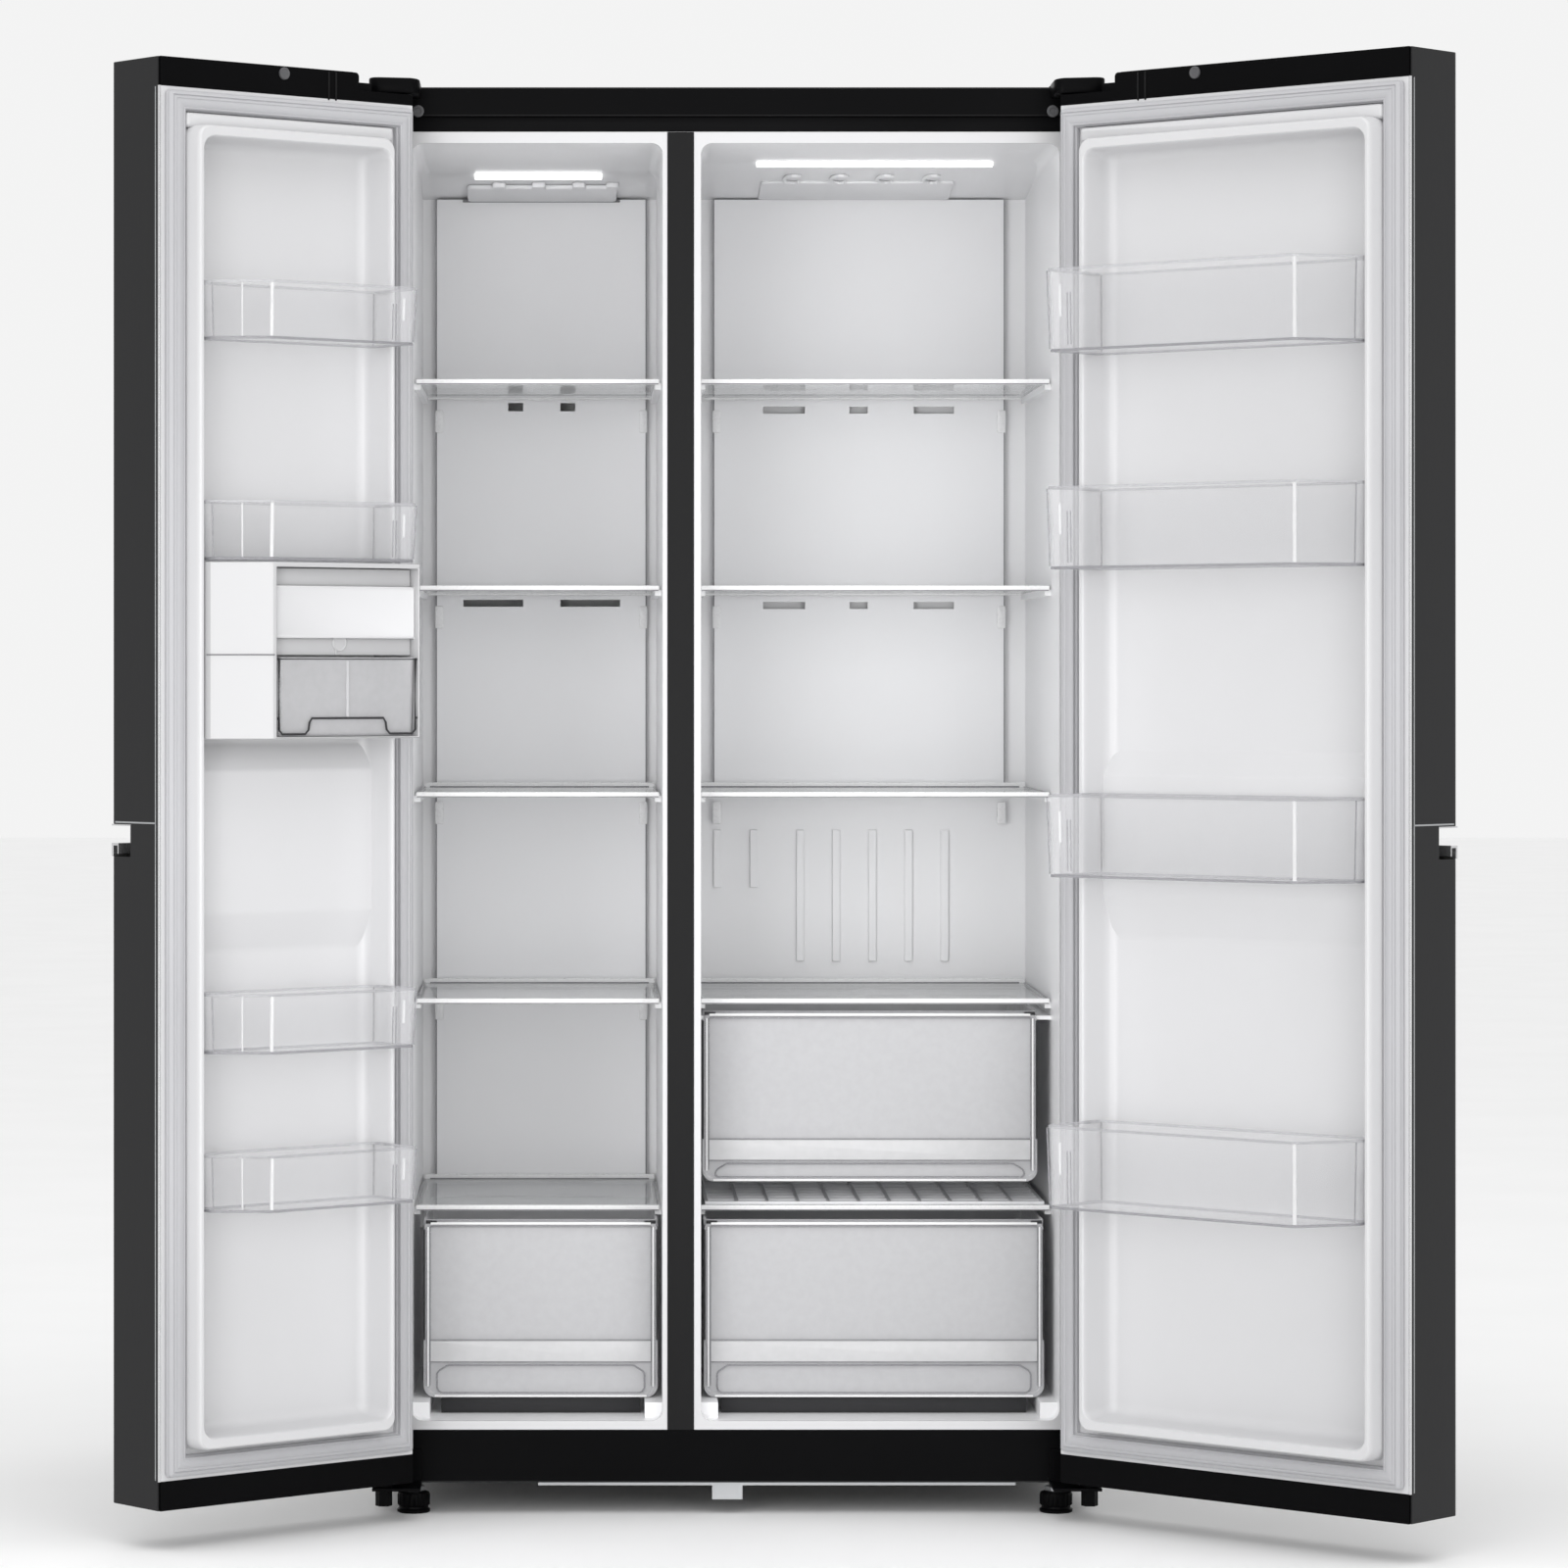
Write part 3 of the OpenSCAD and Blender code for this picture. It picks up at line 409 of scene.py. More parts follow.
def cabinet_liner():
    """White liner, a little greyer on the front flange than deep inside: painted light, the inner tone
    made brighter to make up for the light that reaches less far into the compartments.
    """
    # Painted light: the inner tone is brighter than the flange's, though both are the same white
    # plastic.
    white, flange = (0.85, 0.85, 0.86), (0.58, 0.58, 0.59)
    material = coated("cabinet_liner", white, 0.34, 240, 0.00003, 0.012)
    nodes, links = material.node_tree.nodes, material.node_tree.links
    place = nodes.new("ShaderNodeTexCoord")
    axes = nodes.new("ShaderNodeSeparateXYZ")
    depth = nodes.new("ShaderNodeMapRange")
    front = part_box("freezer_liner")[0].y
    depth.inputs["From Min"].default_value = front + 1.0 * MM
    depth.inputs["From Max"].default_value = front + 6.0 * MM
    ramp = nodes["Color Ramp"]
    blend = nodes.new("ShaderNodeMix")
    blend.data_type = "RGBA"
    blend.inputs["A"].default_value = (*flange, 1)
    links.new(place.outputs["Object"], axes.inputs["Vector"])
    links.new(axes.outputs["Y"], depth.inputs["Value"])
    links.new(depth.outputs["Result"], blend.inputs["Factor"])
    links.new(ramp.outputs["Color"], blend.inputs["B"])
    links.new(blend.outputs["Result"], nodes["Principled BSDF"].inputs["Base Color"])


def housing_plastic():
    coated("housing_plastic", (0.465, 0.465, 0.473), 0.32, 300, 0.00003, 0.012)


def white_trim():
    coated("white_trim", (0.80, 0.80, 0.805), 0.28, 300, 0.00002, 0.01)


def duct_plastic():
    coated("duct_plastic", (0.83, 0.83, 0.842), 0.40, 500, 0.00004, 0.015)


# Grey for fine seams, and for painted shade in the freezer outlet's gap and under the shelf trims.
def seam_and_shade_grey():
    coated("seam_and_shade_grey", (0.20, 0.20, 0.21), 0.5, 300, 0.00004, 0.08)


def shadow_black():
    coated("shadow_black", (0.03, 0.03, 0.032), 0.6, 300, 0.00004, 0.10, Specular_IOR_Level=0.2)


def dark_strip():
    coated("dark_strip", (0.009, 0.009, 0.0094), 0.42, 420, 0.00002, 0.08, stretch=(1, 1, 0.1),
           Specular_IOR_Level=0.10)


def gasket_rubber():
    coated("gasket", (0.42, 0.42, 0.436), 0.50, 700, 0.00004, 0.03)


def bright_trim():
    coated("bright_trim", (0.62, 0.62, 0.63), 0.24, 600, 0.00001, 0.04, metallic=0.9,
           stretch=(1, 1, 0.05))


def galvanised():
    coated("galvanised_steel", (0.42, 0.43, 0.44), 0.42, 160, 0.00002, 0.05, metallic=0.8,
           stretch=(1, 1, 0.3))


def black_steel():
    coated("black_steel", (0.014, 0.014, 0.015), 0.38, 300, 0.00005, 0.15)


def copper():
    coated("copper", (0.34, 0.15, 0.08), 0.35, 120, 0.00003, 0.2, metallic=0.9)


def aluminium_fins():
    coated("aluminium_fins", (0.62, 0.63, 0.64), 0.35, 200, 0.00002, 0.06, metallic=0.9)


def insulation():
    coated("foam", (0.78, 0.70, 0.42), 0.9, 160, 0.0006, 0.12)


def fan_plastic():
    coated("fan_plastic", (0.24, 0.24, 0.25), 0.5, 300, 0.00004, 0.06)


def screw_cap():
    coated("screw_cap", (0.070, 0.070, 0.074), 0.45, 500, 0.00004, 0.10)


def grid_plastic():
    coated("grid_plastic", (0.84, 0.84, 0.86), 0.4, 300, 0.00004, 0.08)


def roller_rubber():
    coated("roller_rubber", (0.02, 0.02, 0.02), 0.6, 300, 0.0001, 0.2)


def lamp_lens():
    _, nodes, links, principled = shader("lamp_lens", (0.95, 0.95, 0.95), 0.4)
    fine = surface_noise(nodes, links, 200)
    vary_color(nodes, links, principled, fine, (0.93, 0.93, 0.93), (0.98, 0.98, 0.98))
    principled.inputs["Emission Color"].default_value = (1, 1, 1, 1)
    principled.inputs["Emission Strength"].default_value = 2.2


# Clear materials: colour, roughness, and how much they cover face on and edgewise
CLEAR = {
    "clear_plastic": ((0.80, 0.80, 0.82), 0.08, 0.05, 0.42),
    "smoke_plastic": ((0.66, 0.66, 0.675), 0.10, 0.30, 0.80),
    "clear_edge": ((0.31, 0.31, 0.33), 0.12, 0.45, 0.85),
    "clear_rim": ((0.50, 0.50, 0.52), 0.12, 0.22, 0.58),
    "frosted_band": ((0.79, 0.79, 0.80), 0.22, 0.55, 0.90),
    # clear_glint is the light tone of the bins' painted highlights and pale hooks.
    "clear_glint": ((0.86, 0.86, 0.87), 0.10, 0.50, 0.88),
    "frosted_plastic": ((0.70, 0.70, 0.715), 0.20, 0.42, 0.85),
    "glass": ((0.72, 0.74, 0.75), 0.04, 0.14, 0.60),
}
SOLID = (dark_steel, black_plastic, textured_black, white_liner, white_trim, duct_plastic, dark_strip,
         gasket_rubber, bright_trim, galvanised, black_steel, copper, aluminium_fins, insulation,
         fan_plastic, grid_plastic, roller_rubber, lamp_lens, screw_cap, seam_and_shade_grey, cabinet_liner,
         housing_plastic, shadow_black)
for make_material in SOLID:
    make_material()
for material_name, looks in CLEAR.items():
    see_through(material_name, *looks)


# ---------------------------------------- CAD nodes that stay on

DRESSING = [
    ("dark_steel", 0.8, ["cabinet_shell", "freezer_door_skin", "fridge_door_skin"]),
    ("galvanised_steel", 0.5, ["rear_panel", "upper_hinges", "roller_brackets", "base_strip"]),
    ("foam", 0.0, ["cabinet_foam"]),
    ("cabinet_liner", 1.2, ["freezer_liner", "fridge_liner"]),
    ("housing_plastic", 1.4, ["ice_maker_housing"]),
    ("duct_plastic", 0.7, ["freezer_air_duct", "fridge_air_duct"]),
    ("black_plastic", 1.2, ["top_rail", "base_beam", "freezer_door_caps", "fridge_door_caps",
                            "freezer_door_recess", "fridge_door_recess",
                            "lower_hinges", "drain_pan", "power_inlet"]),
    ("dark_strip", 0.5, ["mullion_cover"]),
    ("glass", 0.8, ["shelf_glass"]),
    ("grid_plastic", 0.4, ["crisper_grid"]),
    ("black_steel", 0.8, ["compressor", "fan_motors", "machine_room_cover"]),
    ("copper", 0.2, ["condenser_coil"]),
    ("aluminium_fins", 0.2, ["evaporator"]),
    ("fan_plastic", 0.4, ["evaporator_fan", "condenser_fan"]),
    ("roller_rubber", 1.0, ["rear_roller_left", "rear_roller_right"]),
    ("bright_trim", 0.3, ["freezer_door_trim", "fridge_door_trim"]),
    ("lamp_lens", 1.2, ["interior_lamps"]),
    ("white_trim", 1.2, ["shelf_trims"]),
]
for material_name, bevel_width, nodes_here in DRESSING:
    for node_name in nodes_here:
        dress(node_name, material_name, bevel_width)


# ---------------------------------------- doors

def door_liner(door):
    """Liner with a drafted, round-crested rim around a dished middle."""
    low, high = door.box("liner")
    rim_low, rim_high = door.box("liner", lambda p: p.y > high.y - 0.2)
    floor_y = low.y + 2.5
    pan_low, pan_high = door.box("liner", lambda p: abs(p.y - floor_y) < 0.3)
    plate = rect((low.x + 0.2, low.z + 0.2), (high.x - 0.2, high.z - 0.2))
    rim = rect((rim_low.x, rim_low.z), (rim_high.x, rim_high.z))
    pan = rect((pan_low.x, pan_low.z), (pan_high.x, pan_high.z))
    top = high.y
    steps = [
        (pan, -2.4, 14, low.y + 0.1), (pan, -2.4, 14, -2.9),
        (plate, 0, 1, -2.9), (plate, 0, 1, -0.6), (plate, 0.5, 1.5, 0),
        (rim, -3.5, 17, 0), (rim, -1.6, 17, 0.8), (rim, -0.4, 17, 3),
        (rim, 0.4, 17, top - 8), (rim, 1.1, 17, top - 3.4), (rim, 2.1, 17, top - 1),
        (rim, 3.4, 17, top), (pan, -3.2, 14, top), (pan, -2.1, 14, top - 1),
        (pan, -1.1, 14, top - 3.4), (pan, -0.4, 14, top - 8), (pan, 1.5, 14, -1),
        (pan, 3.5, 14, floor_y + 8), (pan, 6.5, 16, floor_y + 3),
        (pan, 11, 20, floor_y + 0.6), (pan, 16, 24, floor_y),
    ]
    rings = []
    for corners, inset, radius, y in steps:
        outline = rounded(corners, inset, radius, 7)
        rings.append([door.face(p.x, p.y, y) for p in outline])
    body = loft(rings)
    bulge = door_liner_bulge(door, pan_low, pan_high, floor_y)
    pad = door_liner_pad(door, rim_high)
    piece(f"{door.name}_liner_shell", merged([body, bulge, pad]), door.name,
          "white_liner", [f"{door.name}_liner"])


# Raised field behind the handle: its flat part below and above the handle, and both slopes
FIELDS = {"freezer_door": (85, 81, 52, 38), "fridge_door": (66, 73, 60, 34)}


def eased(t, bend=0.14):
    """Straight rise from 0 to 1 with a short rounding at both ends."""
    if t < bend:
        return t * t / (2 * bend * (1 - bend))
    if t > 1 - bend:
        return 1 - (1 - t) ** 2 / (2 * bend * (1 - bend))
    return (t - bend / 2) / (1 - bend)


def slope_points(z_floor, z_top, floor_y, steps=28):
    """The rise from the dished middle up to the level of the inner face."""
    shares = [k / steps for k in range(steps + 1) if k < 5 or k > steps - 5 or k == steps // 2]
    return [(floor_y * (1 - eased(t)), z_floor + t * (z_top - z_floor)) for t in shares]


def door_liner_bulge(door, pan_low, pan_high, floor_y):
    """The soft raised field behind the handle recess, from side to side of the dished middle."""
    below, above, lower_slope, upper_slope = FIELDS[door.name]
    low, high = door.handle_z - below, door.handle_z + above
    side = [(floor_y - 1, low - lower_slope)]
    side += slope_points(low - lower_slope, low, floor_y)
    side += reversed(slope_points(high + upper_slope, high, floor_y))
    side.append((floor_y - 1, high + upper_slope))
    ends = (pan_low.x - 1.5, pan_high.x + 1.5)
    return loft([[door.side(y, z, u) for y, z in side] for u in ends])


def door_core(door):
    """Foam core behind the liner, set back around the handle recess and between the caps."""
    low, high = door.box("foam")
    back = door.box("liner")[0].y - 0.5
    recess_low, recess_high = door.box("recess")
    inner = recess_high.y + 2
    cap_low, cap_high = door.box("liner")[0].z + 12, door.box("liner")[1].z - 12
    side = [(low.y, cap_low), (back, cap_low), (back, cap_high), (low.y, cap_high),
            (low.y, recess_high.z + 3), (inner, recess_high.z + 3),
            (inner, recess_low.z - 3), (low.y, recess_low.z - 3)]
    ends = (low.x + 2, high.x - 2)
    core = loft([[door.side(y, z, u) for y, z in side] for u in ends])
    piece(f"{door.name}_core", core, door.name, "foam", [f"{door.name}_foam"], 1)


def door_liner_pad(door, rim_high):
    """Low raised field between the rim and the seal's upper run."""
    seal_low, seal_high = door.box("gasket")
    low = (seal_low.x + 33, rim_high.z - 3)
    high = (rim_high.x + 1, seal_high.z - 25.6)
    profile = [(0, -0.5), (0, 6), (0.6, 9), (2, 11), (4, 12)]
    return swept(rect(low, high), profile, door.face, 5, 4)


def door_gasket(door):
    """Magnetic seal with soft folds at both edges and fine grooves beside its crown."""
    low, high = door.box("gasket")
    profile = [(0.6, 0.1), (0, 1.6), (0, 4.2), (1.6, 5.6), (0.7, 7), (1.2, 8.8), (3, 10.4), (5.2, 11.6),
               (6.2, 10.4), (7.4, 11.9), (9.4, 12.4), (10.6, 11.6), (11.8, 12.5), (19.2, 12.7),
               (20.4, 11.9), (21.4, 12.5), (22.6, 11.8), (23.4, 9.6), (23, 7.4), (24.6, 5.8),
               (25, 3.6), (25, 0.1)]
    ring = swept(rect((low.x, low.z), (high.x, high.z)), profile, door.face, 5, 4, closed=True)
    piece(f"{door.name}_seal", ring, door.name, "gasket", [f"{door.name}_gasket"])


def bin_corners(door, part):
    """A bin's box, the u where its main face ends, and the y where its free end is cut."""
    low, high = door.box(part)
    crease = door.box(part, lambda p: p.y > high.y - 0.2)[1].x
    slant = door.box(part, lambda p: p.x > high.x - 0.2)[1].y
    return low, high, crease, slant


def door_bin(door, part):
    """A clear bin with drafted walls, a rolled rim and a stepped front."""
    low, high, crease, slant = bin_corners(door, part)
    corners = [(low.x, low.y), (high.x, low.y), (high.x, slant), (crease, high.y), (low.x, high.y)]
    z0, z1 = low.z, high.z
    step_z = z0 + 0.62 * (z1 - z0)
    profile = [
        (9.0, z0), (6.2, z0 + 0.5), (4.6, z0 + 2.2), (4.0, z0 + 5),
        (2.3, step_z - 1.5), (1.5, step_z), (1.0, z1 - 5), (0.8, z1 - 3.2),
        (0.8, z1 - 1.0), (1.4, z1 - 0.6), (2.4, z1 - 0.6), (2.9, z1 - 1),
        (3.0, z1 - 5), (3.7, step_z), (4.5, step_z - 1.5),
        (6.2, z0 + 7), (7.2, z0 + 4), (9.5, z0 + 2.8), (14, z0 + 2.5),
    ]
    tray = swept(corners, profile, door.flat, 15, 6)
    name = f"{door.name}_{part}"
    piece(f"{name}_tray", tray, door.name, "clear_plastic", [name])
    door_bin_lines(door, name, corners, low, high)


def upright_bar(door, bottom, top, z0, z1, radius):
    """A slim bar from one plan point at z0 to another at z1."""
    return tube([door.flat(*bottom, z0), door.flat(*top, z1)], radius)


def door_bin_lines(door, name, corners, low, high):
    """Thick rims, corners and guides of a bin, where its plastic looks denser, and light bars for
    painted highlights.
    """
    z0, z1 = low.z, high.z
    rim = [(0, -3.4), (0, -0.6), (0.5, 0), (1.7, 0), (2.2, -0.6), (2.2, -3.4)]
    foot = [(3.3, 0.4), (3.0, 1.0), (3.0, 3.0), (3.6, 3.6), (6.5, 1.8), (6.5, 0.4)]
    rim_ring = swept(corners, [(g, z1 + h) for g, h in rim], door.flat, 15, 6, True)
    foot_ring = swept(corners, [(g, z0 + h) for g, h in foot], door.flat, 15, 6, True)
    inner = inset_corners(corners, 6)
    outer = inset_corners(corners, 3.4)
    bars = []
    for i in (0, 1, 2, 4):
        bars.append(upright_bar(door, inner[i], outer[i], z0 + 4, z1 - 3, 1.0))
    for u in (low.x + 34, low.x + 39):
        near, far = z0 + 0.08 * (z1 - z0), z1 - 0.30 * (z1 - z0)
        bars.append(upright_bar(door, (u, high.y - 5), (u, high.y - 3.6), near, far, 0.8))
    piece(f"{name}_rims", rim_ring, door.name, "clear_rim")
    piece(f"{name}_foot_edge", merged([foot_ring] + bars), door.name, "clear_edge")
    # Painted highlights: a light bar down the crease and, on the freezer door, one on the slanted face;
    # the bar near the hinge end is the pale guide hook, in the same light tone.
    glints = [upright_bar(door, inner[3], outer[3], z0 + 4, z1 - 3, 2.4)]
    hook_u, height = low.x + 22, z1 - z0
    glints.append(upright_bar(door, (hook_u, high.y - 5.5), (hook_u, high.y - 4.5),
                              z0 + 0.42 * height, z1 - 0.2 * height, 1.8))
    if door is freezer:
        middle_low, middle_high = (inner[2] + inner[3]) / 2, (outer[2] + outer[3]) / 2
        glints.append(upright_bar(door, middle_low, middle_high, z0 + 4, z1 - 3, 1.2))
    piece(f"{name}_corner", merged(glints), door.name, "clear_glint")


# Where the capped screw sits, as a share of the door's width
PLUG_SHARES = {"freezer_door": 0.52, "fridge_door": 0.40}


def door_top_details(door):
    """Capped screw at the top of the inner face, and two shallow ribs nearer the hinge."""
    top = door.box("caps")[1].z
    u, z = PLUG_SHARES[door.name] * door.width, top - 9
    profile = [(0.01, -1), (7.6, -1), (7.6, 1.6), (7.2, 2.4), (5.6, 2.6), (5.0, 2.2), (2.4, 2.2),
               (0.01, 2.3)]
    plug = lathe(profile, lambda a, b, h: door.face(u + a, z + b, h))
    piece(f"{door.name}_plug", plug, door.name, "screw_cap")
    seal_top = door.box("gasket")[1].z
    ribs = [block((at, seal_top + 3, -0.5), (at + 2.4, top - 2, 1.2),
                  door.face, 1, 0.5) for at in (121, 132)]
    piece(f"{door.name}_top_ribs", merged(ribs), door.name, "dark_strip")


def door_shoulder(door):
    """The end of the door's top strip beside the hinge, with a round upper corner."""
    high = door.box("caps")[1]
    strip_low = door.box("caps", lambda p: p.z > high.z - 1)[0]
    base = high.z - 23
    start, end = strip_low.x - 10, strip_low.x + 3
    bend = 5
    outline = [(end, base), (end, high.z - 0.2)]
    for k in range(7):
        t = math.pi / 2 * (1 + k / 6)
        outline.append((start + bend + bend * math.cos(t), high.z - bend + bend * math.sin(t) - 0.2))
    outline.append((start, base))
    depths = (strip_low.y + 1, high.y - 0.4)
    shoulder = loft([[door.face(u, z, y) for u, z in outline] for y in depths])
    shelf = block((start - 20, base, high.y - 9.3),
                  (start + 1, high.z - 12, high.y - 0.8), door.face, 2, 0.8)
    piece(f"{door.name}_shoulder", merged([shoulder, shelf]), door.name, "black_plastic")


def door_side_lines(door):
    """Seam between the upper and lower panel on the free side, and the bright inner edge line."""
    low, high = door.box("skin")
    seam_z = door.box("recess")[1].z
    u = door.width
    seam = block((low.y + 9, seam_z - 0.6, u - 1),
                 (high.y - 6, seam_z + 1.4, u + 0.35), door.side, 0.8, 0.3)
    edge = block((high.y - 5.4, low.z + 36, u - 1),
                 (high.y - 3.8, high.z - 36, u + 0.35), door.side, 0.6, 0.3)
    piece(f"{door.name}_side_lines", merged([seam, edge]), door.name, "galvanised_steel")


def hinge_cover(number, low, high):
    """Hinge cover with round corners, falling away towards the middle of the cabinet."""
    inward = 1 if low.x < 0 else -1
    outer, inner = (low.x, high.x) if inward > 0 else (high.x, low.x)
    cabinet_low, cabinet_high = in_mm(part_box("cabinet_shell"))
    cabinet_top, cabinet_front = cabinet_high.z, cabinet_low.y

    def sloped(a, b, h):
        along = (a - outer) / (inner - outer)
        fall = 7 * max(0.0, along - 0.55) ** 1.5
        return Vector((a, b, h - fall if h > cabinet_top + 1 else h))

    front = block((low.x, low.y, low.z), (high.x, cabinet_front - 0.5, high.z), sloped, 12, 2)
    rear = block((low.x, cabinet_front - 2, cabinet_top), (high.x, high.y, high.z), sloped, 12, 2)
    piece(f"hinge_cover_{number}", merged([front, rear]), "cabinet", "black_plastic",
          ["hinge_covers"])


for number, (cover_low, cover_high) in enumerate(solids("hinge_covers"), 1):
    hinge_cover(number, cover_low, cover_high)
for door in (freezer, fridge):
    door_core(door)
    door_shoulder(door)
    door_side_lines(door)
    door_liner(door)
    door_gasket(door)
    door_top_details(door)
    for number in range(1, 5):
        door_bin(door, f"bin_{number}")


# ---------------------------------------- ice maker

COVER_DEPTH = 83    # from the door's inner face to the housing's plate behind the tray's cover


def cover_plate():
    """Lowest and highest corner of the housing's plate behind the tray's cover."""
    return freezer.box("ice_maker_housing", lambda p: abs(p.y - COVER_DEPTH) < 0.5)


def ice_tray_cover():
    """The plain cover in front of the ice tray."""
    low, high = cover_plate()
    bm = swept(rect((low.x + 1, low.z), (high.x - 1.5, high.z)),
               [(0.5, high.y + 1), (0, high.y + 3.5), (0.4, high.y + 4.6),
                (2, high.y + 5.2), (3.4, high.y + 4.4)],
               freezer.face, 5, 5)
    piece("ice_tray_cover", bm, "freezer_door", "white_liner")


def ice_maker_panels():
    """Inner panels above and below the tray's cover, just behind the housing's opening."""
    cover_low, cover_high = cover_plate()
    bin_top = freezer.box("ice_bin")[1].z
    ceiling = freezer.box("ice_maker_housing")[1].z - 7
    y = cover_low.y - 4
    left, right = cover_low.x + 1.5, cover_high.x - 1.5
    middle = 0.52 * (left + right)
    upper = block((left, cover_high.z - 4, y - 1.2), (right, ceiling, y + 1), freezer.face, 1)
    lower = block((left, bin_top + 3, y - 1.2), (right, cover_low.z + 4, y + 1), freezer.face, 1)
    seam = block((middle, bin_top + 3, y), (middle + 3, cover_low.z, y + 2.2), freezer.face, 1)
    profile = [(0.01, 0), (11, 0), (11, 2), (9.6, 2.8), (8.6, 2.2), (0.01, 2.4)]
    pivot = lathe([(r, y + h) for r, h in profile],
                  lambda a, b, h: freezer.face(middle - 4 + a, cover_low.z - 5 + b, h), 32)
    piece("ice_maker_panels", merged([upper, lower, seam, pivot]), "freezer_door",
          "housing_plastic")


def ice_bin():
    """Clear ice bin with drafted walls and a rolled rim."""
    low, high = freezer.box("ice_bin")
    z0, z1 = low.z, high.z
    profile = [(7, z0), (5, z0 + 0.6), (4, z0 + 3), (1.4, z1 - 4), (0.6, z1 - 3.2), (0.3, z1 - 0.8),
               (1.0, z1), (2.6, z1), (3.2, z1 - 1), (6.2, z0 + 6), (8, z0 + 3.2), (11, z0 + 2.6)]
    tray = swept(rect((low.x, low.y), (high.x, high.y)), profile, freezer.flat, 9, 5)
    piece("ice_bin_tray", tray, "ice_bin", "smoke_plastic", ["ice_bin"])


def ice_bin_edges():
    """Dark edge lines of the ice bin: rim, both uprights and the arched foot, drawn as painted shade
    where the clear walls are seen edgewise.
    """
    low, high = freezer.box("ice_bin")
    y = high.y - 0.8
    width = high.x - low.x
    left, right = low.x + 2.6, high.x - 2.6
    arch_left, arch_right = low.x + 0.22 * width, low.x + 0.78 * width
    foot, sill, top = low.z + 3, low.z + 22, high.z - 2
    bend = 5
    outline = [
        (left, top), (left, foot + bend), (left + bend, foot), (arch_left - bend, foot),
        (arch_left, foot + bend), (arch_left + 0.3 * bend, sill - bend),
        (arch_left + 1.0 * bend, sill), (arch_right - 1.0 * bend, sill),
        (arch_right - 0.3 * bend, sill - bend), (arch_right, foot + bend),
        (arch_right + bend, foot), (right - bend, foot), (right, foot + bend), (right, top),
    ]
    edge = tube([freezer.face(u, z, y) for u, z in outline], 1.3)
    rim = tube([freezer.face(u, top, y) for u in (left, right)], 0.7)
    pegs = [tube([freezer.face(u, z, y), freezer.face(v, z, y)], 1.6)
            for z in (top, sill) for u, v in ((left, left - 2), (right, right + 2))]
    middle = (left + right) / 2
    seam = tube([freezer.face(middle, z, y - 0.6) for z in (sill + 2, top - 2)], 1.6)
    piece("ice_bin_seam", seam, "ice_bin", "frosted_plastic")
    # The edge lines are painted shade, in shadow_black.
    piece("ice_bin_edges", merged([edge, rim] + pegs), "ice_bin", "shadow_black")


def ice_maker_seam():
    """The line where the housing's upper and lower covers meet, on its plain free side."""
    high, crease, slant = bin_corners(freezer, "ice_maker_housing")[1:]
    z = freezer.box("ice_bin")[1].z + 3
    out = 0.4
    points = [(crease - 2, high.y + out), (crease, high.y + out), (high.x + out, slant),
              (high.x + out, 0.4 * high.y)]
    seam = tube([freezer.flat(*p, z) for p in points], 0.9)
    piece("ice_maker_seam", seam, "freezer_door", "seam_and_shade_grey")


def ice_tray():
    """Twisting tray with two rows of tapered cells and its pivots."""
    low, high = freezer.box("ice_tray")
    body_low, body_high = freezer.box("ice_tray", lambda p: p.z > high.z - 0.3)
    z0, z1 = low.z + 1, high.z
    cells = 7
    pitch = (body_high.x - body_low.x - 6) / cells
    deck = block((body_low.x, body_low.y, z1 - 3), (body_high.x, body_high.y, z1), freezer.flat, 4, 0.8)
    parts = [deck]
    for row in range(2):
        y0 = body_low.y + 3 + row * 0.5 * (body_high.y - body_low.y - 4)
        y1 = y0 + 0.5 * (body_high.y - body_low.y) - 5
        for i in range(cells):
            x0 = body_low.x + 3 + i * pitch
            profile = [(6, z0), (4, z0 + 1.2), (0.6, z1 - 2.8)]
            parts.append(swept(rect((x0 + 1, y0), (x0 + pitch - 1, y1)), profile, freezer.flat, 6, 4))
    middle = ((body_low.y + body_high.y) / 2, z1 - 13)
    for a, b in ((low.x, body_low.x + 2), (body_high.x - 2, high.x)):
        profile = [(0.01, a), (3.6, a), (4, a + 0.4), (4, b - 0.4), (3.6, b), (0.01, b)]
        parts.append(lathe(profile, lambda p, q, h: freezer.side(middle[0] + p, middle[1] + q, h), 24))
    piece("ice_tray_cells", merged(parts), "ice_tray", "clear_plastic", ["ice_tray"])


ice_tray_cover()
ice_maker_panels()
ice_maker_seam()
ice_bin()
ice_bin_edges()
ice_tray()


# ---------------------------------------- drawers

def drawer(node, name):
    """Translucent drawer: a drafted box with a round-edged, framed front."""
    low, high = in_mm(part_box(node))
    z0, z1 = low.z, high.z
    x0, x1, y0, y1 = low.x, high.x, low.y, high.y
    box_profile = [(9, z0), (6.4, z0 + 0.6), (5, z0 + 3), (2.2, z1 - 9),
                   (0.4, z1 - 8), (0.2, z1 - 1.2), (1, z1), (3.4, z1), (4.2, z1 - 1),
                   (4.6, z1 - 9), (7.4, z0 + 7), (9.5, z0 + 3.6), (14, z0 + 3)]
    box = swept(rect((x0, y0 + 4), (x1, y1)), box_profile, upright, 12, 5)
    front_profile = [(1.4, 6), (0.3, 5), (0, 2), (0.6, 0.6), (1.8, 0), (4.6, 0), (5.6, 0.5), (6.2, 2.2)]
    front = swept(rect((x0, z0), (x1, z1)), [(g, y0 + h) for g, h in front_profile], facing_front, 15, 6)
    piece(name, merged([box, front]), node, "frosted_plastic", [node])


